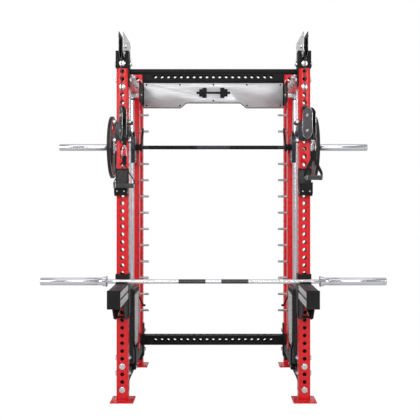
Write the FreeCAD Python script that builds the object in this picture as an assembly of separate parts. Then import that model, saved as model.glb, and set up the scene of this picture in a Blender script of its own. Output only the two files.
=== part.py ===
import FreeCAD, Part
import math
import os

# Rack with a guided barbell and two cable columns. Millimetres, +X to the right of a user
# who faces the machine, +Y to its rear, +Z up. Depths are measured from the front face of the
# front uprights while building, and shift_y moves them so that the origin ends up at the
# middle of the machine's outline on the floor.

# Tubing and hole grid
tube = 75
wall = 3
tube_round = 6
hole_pitch = 50
hole_r = 12.5
first_hole_z = 78
bolt_af = 34
bolt_head = 11
plate_t = 8
upright_x = 586.5
inner_x = upright_x - tube / 2
outer_x = upright_x + tube / 2

# Depths of the three rows of uprights, and their heights
front_y = 0
smith_y = 690
rear_y = 950
front_top = 2205
rear_top = 2290
foot = 150
foot_hole_r = 7
foot_hole_pitch = 120

# Side beams between front and rear uprights
base_beam_z = 115.5
top_beam_z = 2065.5
beam_front = front_y + tube
beam_rear = rear_y

# Cross beams at the rear, and the pull-up bar at the front
rear_top_beam_z = 2212
rear_low_beam_z = 165.5
beam_holes = 19
pull_up_z = 2130
pull_up_r = 18

# Name panel under the rear top beam
panel_y = 944
panel_top = 2197
panel_bottom = 2008
panel_half = 538

# Guided bar
peg_pitch = 121
peg_count = 13
top_peg_z = 1925
peg_y = 727.5
peg_r = 8.5
peg_reach = 68
guide_y = 560
rod_r = 15
bar_y = 612
bar_z = 1677
bar_r = 14
journal_r = 15
sleeve_r = 25
bar_half = 1120
run_gap = 0.3
hook_x = 519
hook_t = 11
plate_r = 225
plate_x = 725
plate_thick = 20

# Cable columns
cable_x = 584
cable_r = 3
pulley_r = 50
pulley_rim = 56
pulley_w = 22
front_pulley = (5, 2290)
rear_pulley = (245, 2245)
cheek_gap = 11.75
cheek_t = 3.5
stack_y = 295
stack_half_x = 52
stack_half_y = 130
stack_floor = 205
stack_pitch = 25
resting_plates = 14
lifted_plates = 6
stack_rod_r = 10
stack_guide_y = 85

# Trolley on the front upright, and the swivel that it carries
swivel_y = -45
trolley_z = 1743
trolley_hole_z = first_hole_z + 33 * hole_pitch
wheel_r = 43
wheel_rim = 47
wheel_w = 16
wheel_cover = 50
upper_wheel_z = 1835
lower_wheel_z = 1738
cable_top_z = 1898
rest_turn = {"left": 18, "right": 30}
stopper_z = 1695
stopper_length = {"left": 52, "right": 18}
ferrule = 6
ring_wire = 3
ring_height = 72
strap_drop = {"left": 50, "right": 33}

# Cups, spotter arms and the loose barbell
cup_pin_z = first_hole_z + 28 * hole_pitch
arm_front = -400
arm_bottom = 662
arm_top = 761
arm_liner = 6
barbell_y = -45
barbell_half = 1100
barbell_r = 14

shift_y = -(arm_front + rear_y + tube / 2 + foot / 2) / 2

V = FreeCAD.Vector
x_dir = V(1, 0, 0)
y_dir = V(0, 1, 0)
z_dir = V(0, 0, 1)


def box(x0, x1, y0, y1, z0, z1):
    return Part.makeBox(x1 - x0, y1 - y0, z1 - z0, V(x0, y0, z0))


def rod_x(r, x0, x1, y, z):
    return Part.makeCylinder(r, x1 - x0, V(x0, y, z), x_dir)


def rod_y(r, x, y0, y1, z):
    return Part.makeCylinder(r, y1 - y0, V(x, y0, z), y_dir)


def rod_z(r, x, y, z0, z1):
    return Part.makeCylinder(r, z1 - z0, V(x, y, z0), z_dir)


def join(first, *others):
    return first.fuse(list(others)).removeSplitter()


def cut(first, *others):
    return first.cut(list(others))


def slab(corners, start, end, direction):
    """A flat plate: corners are the outline, direction says what they and the ends are."""
    if direction == "x":
        points = [V(start, a, b) for a, b in corners]
    elif direction == "y":
        points = [V(a, start, b) for a, b in corners]
    else:
        points = [V(a, b, start) for a, b in corners]
    across = {"x": x_dir, "y": y_dir, "z": z_dir}[direction] * (end - start)
    return Part.Face(Part.makePolygon(points + [points[0]])).extrude(across)


def mirrored(shape):
    return shape.mirror(V(0, 0, 0), x_dir)


def pair(*shapes):
    return list(shapes) + [mirrored(one) for one in shapes]


def save(name, solids):
    """Write one node, moved from the building depths to the finished frame."""
    moved = []
    for one in solids:
        copy = one.copy()
        copy.translate(V(0, shift_y, 0))
        if not copy.isValid() or copy.Volume <= 0:
            raise ValueError("bad solid in " + name)
        moved.extend(copy.Solids)
    Part.makeCompound(moved).exportStep("parts/" + name + ".step")


def section(x0, x1, y0, y1, round_r):
    """A closed wire in the XY plane: a rectangle with round corners."""
    plate = Part.makeBox(x1 - x0, y1 - y0, 1, V(x0, y0, 0))
    upright_edges = [e for e in plate.Edges if abs(e.tangentAt(e.FirstParameter).z) > 0.9]
    soft = plate.makeFillet(round_r, upright_edges)
    bottom = [f for f in soft.Faces if abs(f.CenterOfMass.z) < 1e-6][0]
    return bottom.OuterWire


def upright(y0, z0, z1):
    """A standing square tube, open at both ends."""
    outside = Part.Face(section(inner_x, outer_x, y0, y0 + tube, tube_round))
    hollow = section(inner_x + wall, outer_x - wall, y0 + wall, y0 + tube - wall, tube_round - wall)
    post = outside.cut(Part.Face(hollow)).extrude(z_dir * (z1 - z0))
    post.translate(z_dir * z0)
    return post


def level_tube(length):
    """A square tube along +X from the origin, its section centred on Y and Z."""
    half = tube / 2
    outside = Part.Face(section(-half, half, -half, half, tube_round))
    inner = half - wall
    hollow = Part.Face(section(-inner, inner, -inner, inner, tube_round - wall))
    beam = outside.cut(hollow).extrude(z_dir * length)
    beam.rotate(V(0, 0, 0), y_dir, 90)
    return beam


def drilled(post, y0, z1):
    """Round holes at the grid's pitch through all four faces of a standing tube."""
    count = int((z1 - 20 - first_hole_z) / hole_pitch) + 1
    drills = []
    for step in range(count):
        z = first_hole_z + step * hole_pitch
        drills.append(rod_y(hole_r, upright_x, y0 - 1, y0 + tube + 1, z))
        drills.append(rod_x(hole_r, inner_x - 1, outer_x + 1, y0 + tube / 2, z))
    return cut(post, Part.makeCompound(drills))


def base_plate(y0):
    y = y0 + tube / 2
    half = foot / 2
    holes = []
    for sx in (-1, 1):
        for sy in (-1, 1):
            at = foot_hole_pitch / 2
            holes.append(rod_z(foot_hole_r, upright_x + sx * at, y + sy * at, -1, plate_t + 1))
    plate = box(upright_x - half, upright_x + half, y - half, y + half, 0, plate_t)
    return cut(plate, *holes)


def bolt_y(x, z, y, toward):
    """A hexagon bolt head on the plane y; toward is -1 for the front side and 1 for the rear."""
    reach = bolt_af / math.sqrt(3)
    corners = []
    for turn in range(6):
        angle = math.radians(60 * turn + 30)
        corners.append((x + reach * math.cos(angle), z + reach * math.sin(angle)))
    start, end = sorted((y, y + toward * bolt_head))
    return slab(corners, start, end, "y")


def bolt_x(x, y, z, toward, af, length):
    """A hexagon head or nut on the plane x."""
    reach = af / math.sqrt(3)
    corners = []
    for turn in range(6):
        angle = math.radians(60 * turn)
        corners.append((y + reach * math.cos(angle), z + reach * math.sin(angle)))
    start, end = sorted((x, x + toward * length))
    return slab(corners, start, end, "x")


def build_uprights():
    front = drilled(upright(front_y, plate_t, front_top), front_y, front_top)
    save("front_uprights", pair(front, base_plate(front_y)))
    floor = base_beam_z + tube
    save("smith_uprights", pair(upright(smith_y, floor, top_beam_z)))
    rear = drilled(upright(rear_y, plate_t, rear_top), rear_y, rear_top)
    save("rear_uprights", pair(rear, base_plate(rear_y)))


def build_pegs():
    pegs = []
    for step in range(peg_count):
        z = top_peg_z - step * peg_pitch
        pin = rod_x(peg_r, inner_x - peg_reach, inner_x, peg_y, z)
        collar = rod_x(peg_r + 4.5, inner_x - 6, inner_x, peg_y, z)
        pegs.extend(pair(join(pin, collar)))
    save("catch_pegs", pegs)


def side_beam(bottom, flange_bottom, flange_top, slotted):
    """A tube between the front and rear uprights, and the flange welded to each end."""
    length = beam_rear - beam_front - 2 * plate_t
    beam = level_tube(length)
    beam.rotate(V(0, 0, 0), z_dir, 90)
    beam.translate(V(upright_x, beam_front + plate_t, bottom + tube / 2))
    ends = []
    for y0 in (beam_front, beam_rear - plate_t):
        ends.append(box(inner_x, outer_x, y0, y0 + plate_t, flange_bottom, flange_top))
    if slotted:
        gap = box(cable_x - 9, cable_x + 9, stack_y - 20, stack_y + 20, bottom - 1, bottom + tube + 1)
        beam = cut(beam, gap)
    return [beam] + ends


def build_side_beams():
    save("top_side_beams", pair(*side_beam(top_beam_z, 2001, front_top, True)))
    save("base_side_beams", pair(*side_beam(base_beam_z, 53, 253, False)))


def cross_beam(y0, bottom, flange_bottom, flange_top, top_holes):
    """A drilled tube between the rear uprights, with an end flange on each inner face."""
    half = inner_x - plate_t
    beam = level_tube(2 * half)
    beam.translate(V(-half, y0 + tube / 2, bottom + tube / 2))
    drills = []
    first = -(beam_holes - 1) / 2 * hole_pitch
    for step in range(beam_holes):
        x = first + step * hole_pitch
        drills.append(rod_y(hole_r, x, y0 - 1, y0 + tube + 1, bottom + tube / 2))
        if top_holes:
            drills.append(rod_z(hole_r, x, y0 + tube / 2, bottom + tube / 2, bottom + tube + 1))
    beam = cut(beam, Part.makeCompound(drills))
    return [beam] + pair(box(half, inner_x, y0, y0 + tube, flange_bottom, flange_top))


def build_cross_beams():
    top = cross_beam(rear_y, rear_top_beam_z, 2110, rear_top, False)
    save("rear_top_beam", top)
    low = cross_beam(rear_y, rear_low_beam_z, 78, 328, True)
    save("rear_low_beam", low)
    half = inner_x - plate_t
    y = front_y + tube / 2
    bar = rod_x(pull_up_r, -half, half, y, pull_up_z)
    flanges = pair(box(half, inner_x, front_y, front_y + tube, 2035, front_top))
    save("pull_up_bar", [bar] + flanges)


def panel_outline(grow, top):
    """The panel's outline, grown by a margin, with its lower edge raised in the middle."""
    low = panel_bottom - grow
    rise = low + 38
    half = panel_half + grow
    return [
        (-half, top), (half, top), (half, low), (254, low),
        (208, rise), (-208, rise), (-254, low), (-half, low),
    ]


def dumbbell_hole(y0, y1, z):
    """A plain dumbbell shape, cut through the panel in place of lettering."""
    grip = box(-52, 52, y0, y1, z - 8, z + 8)
    shapes = []
    for near, far, half in ((52, 86, 40), (86, 110, 29), (110, 131, 9)):
        shapes.extend(pair(box(near, far, y0, y1, z - half, z + half)))
    return join(grip, *shapes)


def build_panel():
    front = panel_y
    back = front + 3
    sheet = slab(panel_outline(0, panel_top), front, back, "y")
    hole = dumbbell_hole(front - 1, back + 1, 2122)
    save("name_panel", [cut(sheet, hole)])
    backing = slab(panel_outline(6, rear_top_beam_z), back, back + 3, "y")
    flange_face = inner_x - plate_t
    ears = pair(box(flange_face - 3, flange_face, back + 3, back + 22, 2115, panel_top))
    wing = box(inner_x - 3, inner_x, smith_y + 5, back + 3, 2022, 2180)
    fold = box(panel_half, inner_x, back, back + 3, 2022, 2180)
    backing = join(backing, *pair(wing), *pair(fold))
    save("panel_backing", [backing] + ears)


def rod_clamp():
    """Rod support: a block under the side beam, and an arm along the beam's inner side."""
    low = top_beam_z - 32
    block = box(upright_x - 24, upright_x + 24, guide_y - 24, guide_y + 24, low, top_beam_z)
    foot_block = box(inner_x - 10, upright_x, guide_y - 15, guide_y + 15, low, top_beam_z - 2)
    outline = [(205, 2080), (585, 2122), (585, low), (535, low), (535, 2105), (205, 2125)]
    arm = slab(outline, inner_x - 10, inner_x, "x")
    bosses = [
        rod_x(30, inner_x - 26, inner_x, 205, 2103),
        rod_x(24, inner_x - 22, inner_x, 330, 2098),
        rod_x(20, inner_x - 18, inner_x, 480, 2108),
    ]
    bore = rod_z(rod_r, upright_x, guide_y, low - 1, top_beam_z + 1)
    return cut(join(block, foot_block, arm, *bosses), bore)


def build_rods():
    floor = base_beam_z + tube
    rods = [rod_z(rod_r, upright_x, guide_y, floor, top_beam_z)]
    for side in (-1, 1):
        rods.append(rod_z(stack_rod_r, cable_x, stack_y + side * stack_guide_y, floor, top_beam_z))
    save("guide_rods", pair(*rods))
    save("rod_clamps", pair(rod_clamp()))


def bar_stop():
    """A clamped sleeve on the guide rod with a bent lever on its inner side."""
    sleeve = rod_z(25, upright_x, guide_y, 470, 590)
    lug = box(540, upright_x - 5, guide_y - 11, guide_y + 11, 545, 575)
    body = cut(join(sleeve, lug), rod_z(rod_r, upright_x, guide_y, 469, 591))
    lever = slab([(550, 641), (560, 641), (510, 536), (500, 541)], guide_y - 19, guide_y - 11, "y")
    return join(body, lever)


def grooved_wheel(x, y, z, rim, pitch_r, width, bore):
    """A cable wheel turning about an axis along X."""
    floor = pitch_r - cable_r - run_gap
    half = width / 2
    lip = half - 2
    outline = [
        (bore, -half), (rim, -half), (rim, -lip), (floor, -3.6),
        (floor, 3.6), (rim, lip), (rim, half), (bore, half),
    ]
    points = [V(x + b, y, z + a) for a, b in outline]
    face = Part.Face(Part.makePolygon(points + [points[0]]))
    return face.revolve(V(x, y, z), x_dir, 360)


def axle(y, z, r):
    """A pulley's bolt: shank, head outside and nut inside."""
    outer = cable_x + cheek_gap + cheek_t
    inner = cable_x - cheek_gap - cheek_t
    shank = rod_x(r, inner - 12, outer, y, z)
    head = bolt_x(outer, y, z, 1, 24, 8)
    nut = bolt_x(inner - 1, y, z, -1, 24, 9)
    return join(shank, head, nut)


def build_pulleys():
    for side in ("left", "right"):
        for place, centre in (("front", front_pulley), ("rear", rear_pulley)):
            y, z = centre
            wheel = grooved_wheel(cable_x, y, z, pulley_rim, pulley_r, pulley_w, 8 + run_gap)
            save(side + "_" + place + "_pulley", [wheel if side == "right" else mirrored(wheel)])
    profile = [
        (-85, 2366), (300, 2370), (300, top_beam_z + tube), (95, top_beam_z + tube),
        (85, 2212), (-40, 2212), (-85, 2240),
    ]
    bores = []
    for y, z in (front_pulley, rear_pulley):
        bores.append(rod_x(8, cable_x - 60, cable_x + 60, y, z))
    cheeks = []
    for x0 in (cable_x + cheek_gap, cable_x - cheek_gap - cheek_t):
        cheeks.append(cut(slab(profile, x0, x0 + cheek_t, "x"), *bores))
    save("cheek_plates", pair(*cheeks))
    bracket_top = 2260
    front = box(inner_x - 5, outer_x + 5, -5, 0, 2148, bracket_top)
    wings = [
        box(inner_x - 5, inner_x, 0, tube, front_top + 1, bracket_top),
        box(outer_x, outer_x + 5, 0, tube, 2148, bracket_top),
    ]
    slot_half = cheek_gap + cheek_t + 1
    gap = box(cable_x - slot_half, cable_x + slot_half, -6, 1, 2209, bracket_top + 1)
    save("pulley_brackets", pair(cut(join(front, *wings), gap)))


def sweep(edges, r):
    """A round cable of radius r along joined edges."""
    path = Part.Wire(edges)
    start = edges[0].valueAt(edges[0].FirstParameter)
    heading = edges[0].tangentAt(edges[0].FirstParameter)
    ring = Part.Wire(Part.makeCircle(r, start, heading))
    return path.makePipeShell([ring], True, False)


def arc_point(y, z, r, degrees):
    angle = math.radians(degrees)
    return V(cable_x, y + r * math.cos(angle), z + r * math.sin(angle))


def arc(y, z, r, start, end):
    middle = (start + end) / 2
    return Part.Arc(
        arc_point(y, z, r, start), arc_point(y, z, r, middle), arc_point(y, z, r, end)
    ).toShape()


def build_fixed_cables():
    fy, fz = front_pulley
    ry, rz = rear_pulley
    lean = math.degrees(math.atan2(rz - fz, ry - fy))
    top = 90 + lean
    run = Part.makeLine(arc_point(fy, fz, pulley_r, top), arc_point(ry, rz, pulley_r, top))
    over = [arc(fy, fz, pulley_r, 180, top), run, arc(ry, rz, pulley_r, top, 0)]
    save("upper_cables", pair(sweep(over, cable_r)))
    stack_top = stack_floor + (resting_plates + lifted_plates) * stack_pitch
    for side in ("left", "right"):
        sign = 1 if side == "right" else -1
        front = rod_z(cable_r, sign * cable_x, fy - pulley_r, cable_top_z, fz)
        save(side + "_front_cable", [front])
        rear = rod_z(cable_r, sign * cable_x, stack_y, stack_top + 36, rz)
        save(side + "_rear_cable", [rear])


def stack_plate(z):
    """One weight plate of the stack, with its rod holes and stem hole."""
    x0 = cable_x - stack_half_x
    near, far = stack_y - stack_half_y, stack_y + stack_half_y
    plate = box(x0, cable_x + stack_half_x, near, far, z, z + stack_pitch)
    level = [e for e in plate.Edges if abs(e.tangentAt(e.FirstParameter).z) < 0.5]
    plate = plate.makeChamfer(1.5, level)
    holes = [rod_z(11, cable_x, stack_y, z - 1, z + stack_pitch + 1)]
    for side in (-1, 1):
        y = stack_y + side * stack_guide_y
        holes.append(rod_z(stack_rod_r + 1, cable_x, y, z - 1, z + stack_pitch + 1))
    holes.append(rod_x(5, x0 - 1, cable_x - 8, stack_y, z + stack_pitch / 2))
    return cut(plate, *holes)


def build_stacks():
    resting = []
    for step in range(resting_plates):
        resting.append(stack_plate(stack_floor + step * stack_pitch))
    save("stack_plates", pair(*resting))
    floor = base_beam_z + tube
    bumpers = []
    for side in (-1, 1):
        y = stack_y + side * stack_guide_y
        pad = rod_z(24, cable_x, y, floor, stack_floor)
        bumpers.append(cut(pad, rod_z(stack_rod_r, cable_x, y, floor - 1, stack_floor + 1)))
    save("stack_bumpers", pair(*bumpers))
    split = stack_floor + resting_plates * stack_pitch
    top = split + lifted_plates * stack_pitch
    head = []
    for step in range(lifted_plates):
        head.append(stack_plate(split + step * stack_pitch))
    stem = rod_z(9.5, cable_x, stack_y, stack_floor + 15, top + 2)
    socket = rod_z(12, cable_x, stack_y, top, top + 36)
    stem_socket = join(stem, socket)
    pin = rod_x(4.5, cable_x - stack_half_x - 3, cable_x - 9.5, stack_y, split + stack_pitch / 2)
    knob = rod_x(9, cable_x - stack_half_x - 4, cable_x - stack_half_x, stack_y, split + stack_pitch / 2)
    selector = join(pin, knob)
    for side in ("left", "right"):
        solids = head + [stem_socket, selector]
        if side == "left":
            solids = [mirrored(one) for one in solids]
        save(side + "_stack_head", solids)
    sheet_x = cable_x - stack_half_x - 8
    outline = [(150, 687), (440, 687), (440, 460), (375, 294), (215, 294), (150, 345)]
    guard = slab(outline, sheet_x, sheet_x + 3, "x")
    foot_tab = box(sheet_x, sheet_x + 3, 230, 360, base_beam_z + tube - 40, 294)
    bridge = box(sheet_x + 3, inner_x, 230, 360, base_beam_z + tube - 40, base_beam_z + tube - 4)
    save("stack_guards", pair(guard, foot_tab, bridge))


def build_smith_bar():
    carriage = box(564, 609, guide_y - 27, bar_y + 38, 1564, 1760)
    side_edges = [e for e in carriage.Edges if abs(e.tangentAt(e.FirstParameter).z) > 0.9]
    carriage = carriage.makeFillet(8, side_edges)
    rod_bore = rod_z(rod_r + run_gap, upright_x, guide_y, 1563, 1761)
    bar_bore = rod_x(journal_r + run_gap, 563, 610, bar_y, bar_z)
    save("carriages", pair(cut(carriage, rod_bore, bar_bore)))
    shaft = rod_x(bar_r, -541, 541, bar_y, bar_z)
    journals = pair(rod_x(journal_r, 541, 625, bar_y, bar_z))
    ring = cut(rod_x(23.5, 541, 563, bar_y, bar_z), rod_x(journal_r, 540, 564, bar_y, bar_z))
    save("smith_bar", [join(shaft, *journals)] + pair(ring))
    sleeve = rod_x(sleeve_r, 625, bar_half, bar_y, bar_z)
    collar = cut(rod_x(34, 612, 625, bar_y, bar_z), rod_x(journal_r, 611, 626, bar_y, bar_z))
    save("bar_sleeves", pair(sleeve, collar))


def hook():
    """A plate on the bar whose slot, concentric with the bar, closes over a peg."""
    dy = peg_y - bar_y
    dz = top_peg_z - peg_pitch - bar_z
    reach = math.hypot(dy, dz)
    lean = math.degrees(math.atan2(dz, dy))
    x0 = hook_x
    hub = rod_x(32, x0, x0 + hook_t, bar_y, bar_z)
    arm = box(x0, x0 + hook_t, bar_y, bar_y + reach - 10, bar_z - 17, bar_z + 17)
    head = rod_x(24, x0, x0 + hook_t, bar_y + reach, bar_z)
    plate = join(hub, arm, head)
    seat = peg_r + 0.8
    outer = Part.makeCylinder(reach + seat, hook_t + 2, V(x0 - 1, bar_y, bar_z), x_dir)
    inner = Part.makeCylinder(reach - seat, hook_t + 2, V(x0 - 1, bar_y, bar_z), x_dir)
    below = box(x0 - 1, x0 + hook_t + 1, bar_y, bar_y + reach + 60, bar_z - 80, bar_z)
    slot = outer.cut(inner).common(below)
    seat_end = rod_x(seat, x0 - 1, x0 + hook_t + 1, bar_y + reach, bar_z)
    bore = rod_x(bar_r, x0 - 1, x0 + hook_t + 1, bar_y, bar_z)
    plate = cut(plate, slot, seat_end, bore)
    plate.rotate(V(0, bar_y, bar_z), x_dir, lean)
    return plate


def weight_plate():
    """A disc with a thick rim and hub, and three grip openings."""
    x1 = plate_x + plate_thick
    disc = rod_x(plate_r, plate_x + 4, x1 - 4, bar_y, bar_z)
    rim = cut(rod_x(plate_r, plate_x, x1, bar_y, bar_z), rod_x(205, plate_x, x1, bar_y, bar_z))
    hub = rod_x(58, plate_x, x1, bar_y, bar_z)
    body = join(disc, rim, hub)
    ring = rod_x(172, plate_x - 1, x1 + 1, bar_y, bar_z).cut(rod_x(112, plate_x - 1, x1 + 1, bar_y, bar_z))
    wedge = slab([(0, 0), (120, 235), (-120, 235)], plate_x - 1, x1 + 1, "x")
    wedge.translate(V(0, bar_y, bar_z))
    grips = []
    for turn in range(3):
        window = ring.common(wedge)
        window.rotate(V(0, bar_y, bar_z), x_dir, 120 * turn)
        grips.append(window)
    return cut(body, *grips, rod_x(sleeve_r, plate_x - 1, x1 + 1, bar_y, bar_z))


def trolley_plate(y0, y1):
    """A plate with a round lobe at each corner, for the four roller bolts."""
    middle = box(upright_x - 40, upright_x + 40, y0, y1, trolley_z - 60, trolley_z + 60)
    lobes = [box(upright_x - 47, upright_x + 47, y0, y1, trolley_z - 30, trolley_z + 30)]
    for sx in (-1, 1):
        for sz in (-1, 1):
            lobes.append(rod_y(14, upright_x + sx * 48.5, y0, y1, trolley_z + sz * 59))
    return join(middle, *lobes)


def trolley():
    """The carrier round the front upright, with lugs for the swivel and a barrel for its pin."""
    frame = join(trolley_plate(-10, -4), box(cable_x - 12, cable_x + 12, -24, -10, 1675, 1803))
    spine = box(cable_x - 12, cable_x + 12, -24, -12, 1675, cable_top_z)
    lugs = []
    for z0 in (1675, cable_top_z - 10):
        lug = box(cable_x - 16, cable_x + 16, swivel_y, -12, z0, z0 + 10)
        lugs.append(lug)
        lugs.append(rod_z(16, cable_x, swivel_y, z0, z0 + 10))
    frame = join(frame, spine, *lugs)
    frame = cut(frame, rod_z(9 + run_gap, cable_x, swivel_y, 1670, cable_top_z + 5))
    back = trolley_plate(79, 85)
    z = trolley_hole_z
    y = front_y + tube / 2
    side = box(inner_x - 9, inner_x - 3, -4, 79, z - 14, z + 40)
    barrel = rod_x(18, inner_x - 21, inner_x - 9, y, z)
    pocket = rod_x(12 + run_gap, inner_x - 17, inner_x, y, z)
    neck = rod_x(6 + run_gap, inner_x - 22, inner_x - 16, y, z)
    side = cut(join(side, barrel), pocket, neck)
    solids = [frame, back, side]
    for sx in (-1, 1):
        for sz in (-1, 1):
            x = upright_x + sx * 48.5
            at = trolley_z + sz * 59
            solids.append(rod_y(10, x, -4, 79, at))
            solids.append(rod_y(8.5, x, -15, -10, at))
            solids.append(rod_y(8.5, x, 85, 91, at))
    return solids


def trolley_pin():
    """The sprung pin that drops into a hole of the upright, with its knob."""
    y = front_y + tube / 2
    z = trolley_hole_z
    shoulder = rod_x(12, inner_x - 5, inner_x + 7, y, z)
    stem = rod_x(6, inner_x - 25, inner_x - 5, y, z)
    knob = rod_x(16, inner_x - 41, inner_x - 25, y, z)
    return join(shoulder, stem, knob)


def swivel_frame():
    """Two side plates on hollow trunnions, with the axles of both wheels and the cable's bend."""
    u = swivel_y - wheel_r
    solids = []
    low = lower_wheel_z
    high = upper_wheel_z
    bores = [rod_x(6, cable_x - 30, cable_x + 30, u, z) for z in (low, high)]
    for x0 in (cable_x - 14, cable_x + 10):
        plate = box(x0, x0 + 4, u - wheel_cover, u + wheel_cover, low, high)
        ends = [rod_x(wheel_cover, x0, x0 + 4, u, z) for z in (low, high)]
        solids.append(join(plate, *ends))
    bridges = []
    for z0, z1, out in ((1686, 1694, 1675), (cable_top_z - 19, cable_top_z - 11, cable_top_z)):
        bridge = box(cable_x - 14, cable_x + 14, swivel_y - 16, swivel_y + 12, z0, z1)
        trunnion = rod_z(9, cable_x, swivel_y, min(z0, out), max(z1, out))
        bridges.append(join(bridge, trunnion))
    body = join(solids[0], solids[1], *bridges)
    passage = rod_z(cable_r, cable_x, swivel_y, 1600, cable_top_z + 10)
    body = cut(body, passage, *bores)
    parts = [body]
    for z in (low, high):
        pin = rod_x(6, cable_x - 14, cable_x + 14, u, z)
        parts.append(join(pin, bolt_x(cable_x + 14, u, z, 1, 18, 6), bolt_x(cable_x - 14, u, z, -1, 18, 6)))
    down = Part.makeLine(V(cable_x, swivel_y, cable_top_z), V(cable_x, swivel_y, high))
    leave = math.degrees(math.acos(2 * wheel_r / (high - low))) - 90
    across = Part.makeLine(arc_point(u, high, wheel_r, leave), arc_point(u, low, wheel_r, leave + 180))
    bend = [down, arc(u, high, wheel_r, 0, leave), across, arc(u, low, wheel_r, leave + 180, 180)]
    parts.append(sweep(bend, cable_r))
    return parts


def swivel_wheel(z):
    return grooved_wheel(cable_x, swivel_y - wheel_r, z, wheel_rim, wheel_r, wheel_w, 6 + run_gap)


def carabiner(low, top, u):
    """A closed link of round wire in the swivel's cross plane."""
    half = 15
    rounding = 13
    path = section(
        cable_x - half, cable_x + half, low + ring_wire, top - ring_wire, rounding
    )
    path.rotate(V(0, 0, 0), x_dir, 90)
    path.translate(V(0, u - path.CenterOfMass.y, 0))
    first = path.Edges[0]
    start = first.valueAt(first.FirstParameter)
    heading = first.tangentAt(first.FirstParameter)
    wire = Part.Wire(Part.makeCircle(ring_wire, start, heading))
    return path.makePipeShell([wire], True, False)


def hanging_parts(length, drop):
    """Stopper, carabiner, strap and grip, hanging under the lower wheel's outer side."""
    stop_top = stopper_z
    u = swivel_y - 2 * wheel_r
    tail = rod_z(cable_r, cable_x, u, stop_top, lower_wheel_z)
    stop_low = stop_top - length
    top = stop_low - ferrule
    stopper = join(rod_z(13, cable_x, u, stop_low, stop_top), rod_z(5, cable_x, u, top, stop_low))
    low = top - ring_height
    ring = carabiner(low, top, u)
    strap_top = low + 3
    strap_low = strap_top - drop
    grip_z = strap_low - 128
    strap = box(cable_x - 12.5, cable_x + 12.5, u - 2, u + 2, strap_low, low - 0.4)
    fork = []
    for side in (-1, 1):
        outline = [
            (cable_x + side * 0.2, strap_low), (cable_x + side * 12.5, strap_low),
            (cable_x + side * 68, grip_z + 24), (cable_x + side * 65.5, grip_z + 24),
        ]
        fork.append(slab(outline, u - 12.5, u + 12.5, "y"))
        near, far = sorted((cable_x + side * 65.5, cable_x + side * 68))
        fork.append(box(near, far, u - 12.5, u + 12.5, grip_z - 14, grip_z + 24))
    core = rod_x(6, cable_x - 65.5, cable_x + 65.5, u, grip_z)
    tube_part = rod_x(16, cable_x - 64, cable_x + 64, u, grip_z)
    grip = cut(tube_part, rod_x(6 + run_gap, cable_x - 65, cable_x + 65, u, grip_z))
    return {
        "carabiner": [join(tail, stopper), ring],
        "handle_strap": [strap, core] + fork,
        "handle_grip": [grip],
    }


def build_trolleys():
    for side in ("left", "right"):
        groups = {
            "swivel_frame": swivel_frame(),
            "upper_wheel": [swivel_wheel(upper_wheel_z)],
            "lower_wheel": [swivel_wheel(lower_wheel_z)],
        }
        groups.update(hanging_parts(stopper_length[side], strap_drop[side]))
        sign = 1 if side == "right" else -1
        for name, solids in groups.items():
            turned = []
            for one in solids:
                placed = one.copy() if side == "right" else mirrored(one)
                placed.rotate(V(sign * cable_x, swivel_y, 0), z_dir, rest_turn[side])
                turned.append(placed)
            save(side + "_" + name, turned)
        carrier = trolley()
        pin = [trolley_pin()]
        if side == "left":
            carrier = [mirrored(one) for one in carrier]
            pin = [mirrored(one) for one in pin]
        save(side + "_trolley", carrier)
        save(side + "_trolley_pin", pin)


def build_cups():
    z = cup_pin_z
    top = z + 27
    low = z - 153
    seat = low + 50
    half = 41.5
    cheek = [
        (0, top), (-10, top), (-16, seat + 42), (-34, seat), (-62, seat), (-70, seat + 38),
        (-86, seat + 38), (-86, low + 24), (-62, low), (0, low),
    ]
    core = [
        (0, top - 4), (-8, top - 4), (-8, seat - 2), (-76, seat - 2), (-76, seat + 30),
        (-84, seat + 30), (-84, low + 26), (-60, low + 4), (0, low + 4),
    ]
    walls = []
    for x0 in (upright_x - half, upright_x + half - 6):
        walls.append(slab(cheek, x0, x0 + 6, "x"))
    body = slab(core, upright_x - half + 6, upright_x + half - 6, "x")
    pin = rod_y(12, upright_x, -4, 45, z)
    save("j_cups", pair(join(body, *walls, pin)))
    liner = [
        (-8, top - 12), (-14, top - 16), (-14, seat + 46), (-32, seat + 6), (-64, seat + 6),
        (-69, seat + 34), (-76, seat + 34), (-76, seat - 2), (-8, seat - 2),
    ]
    cup_liner = slab(liner, upright_x - half + 6, upright_x + half - 6, "x")
    arm_pad = box(inner_x + 2, outer_x - 2, arm_front + 14, -8, arm_top, arm_top + arm_liner)
    save("plastic_liners", pair(cup_liner, arm_pad))


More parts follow.
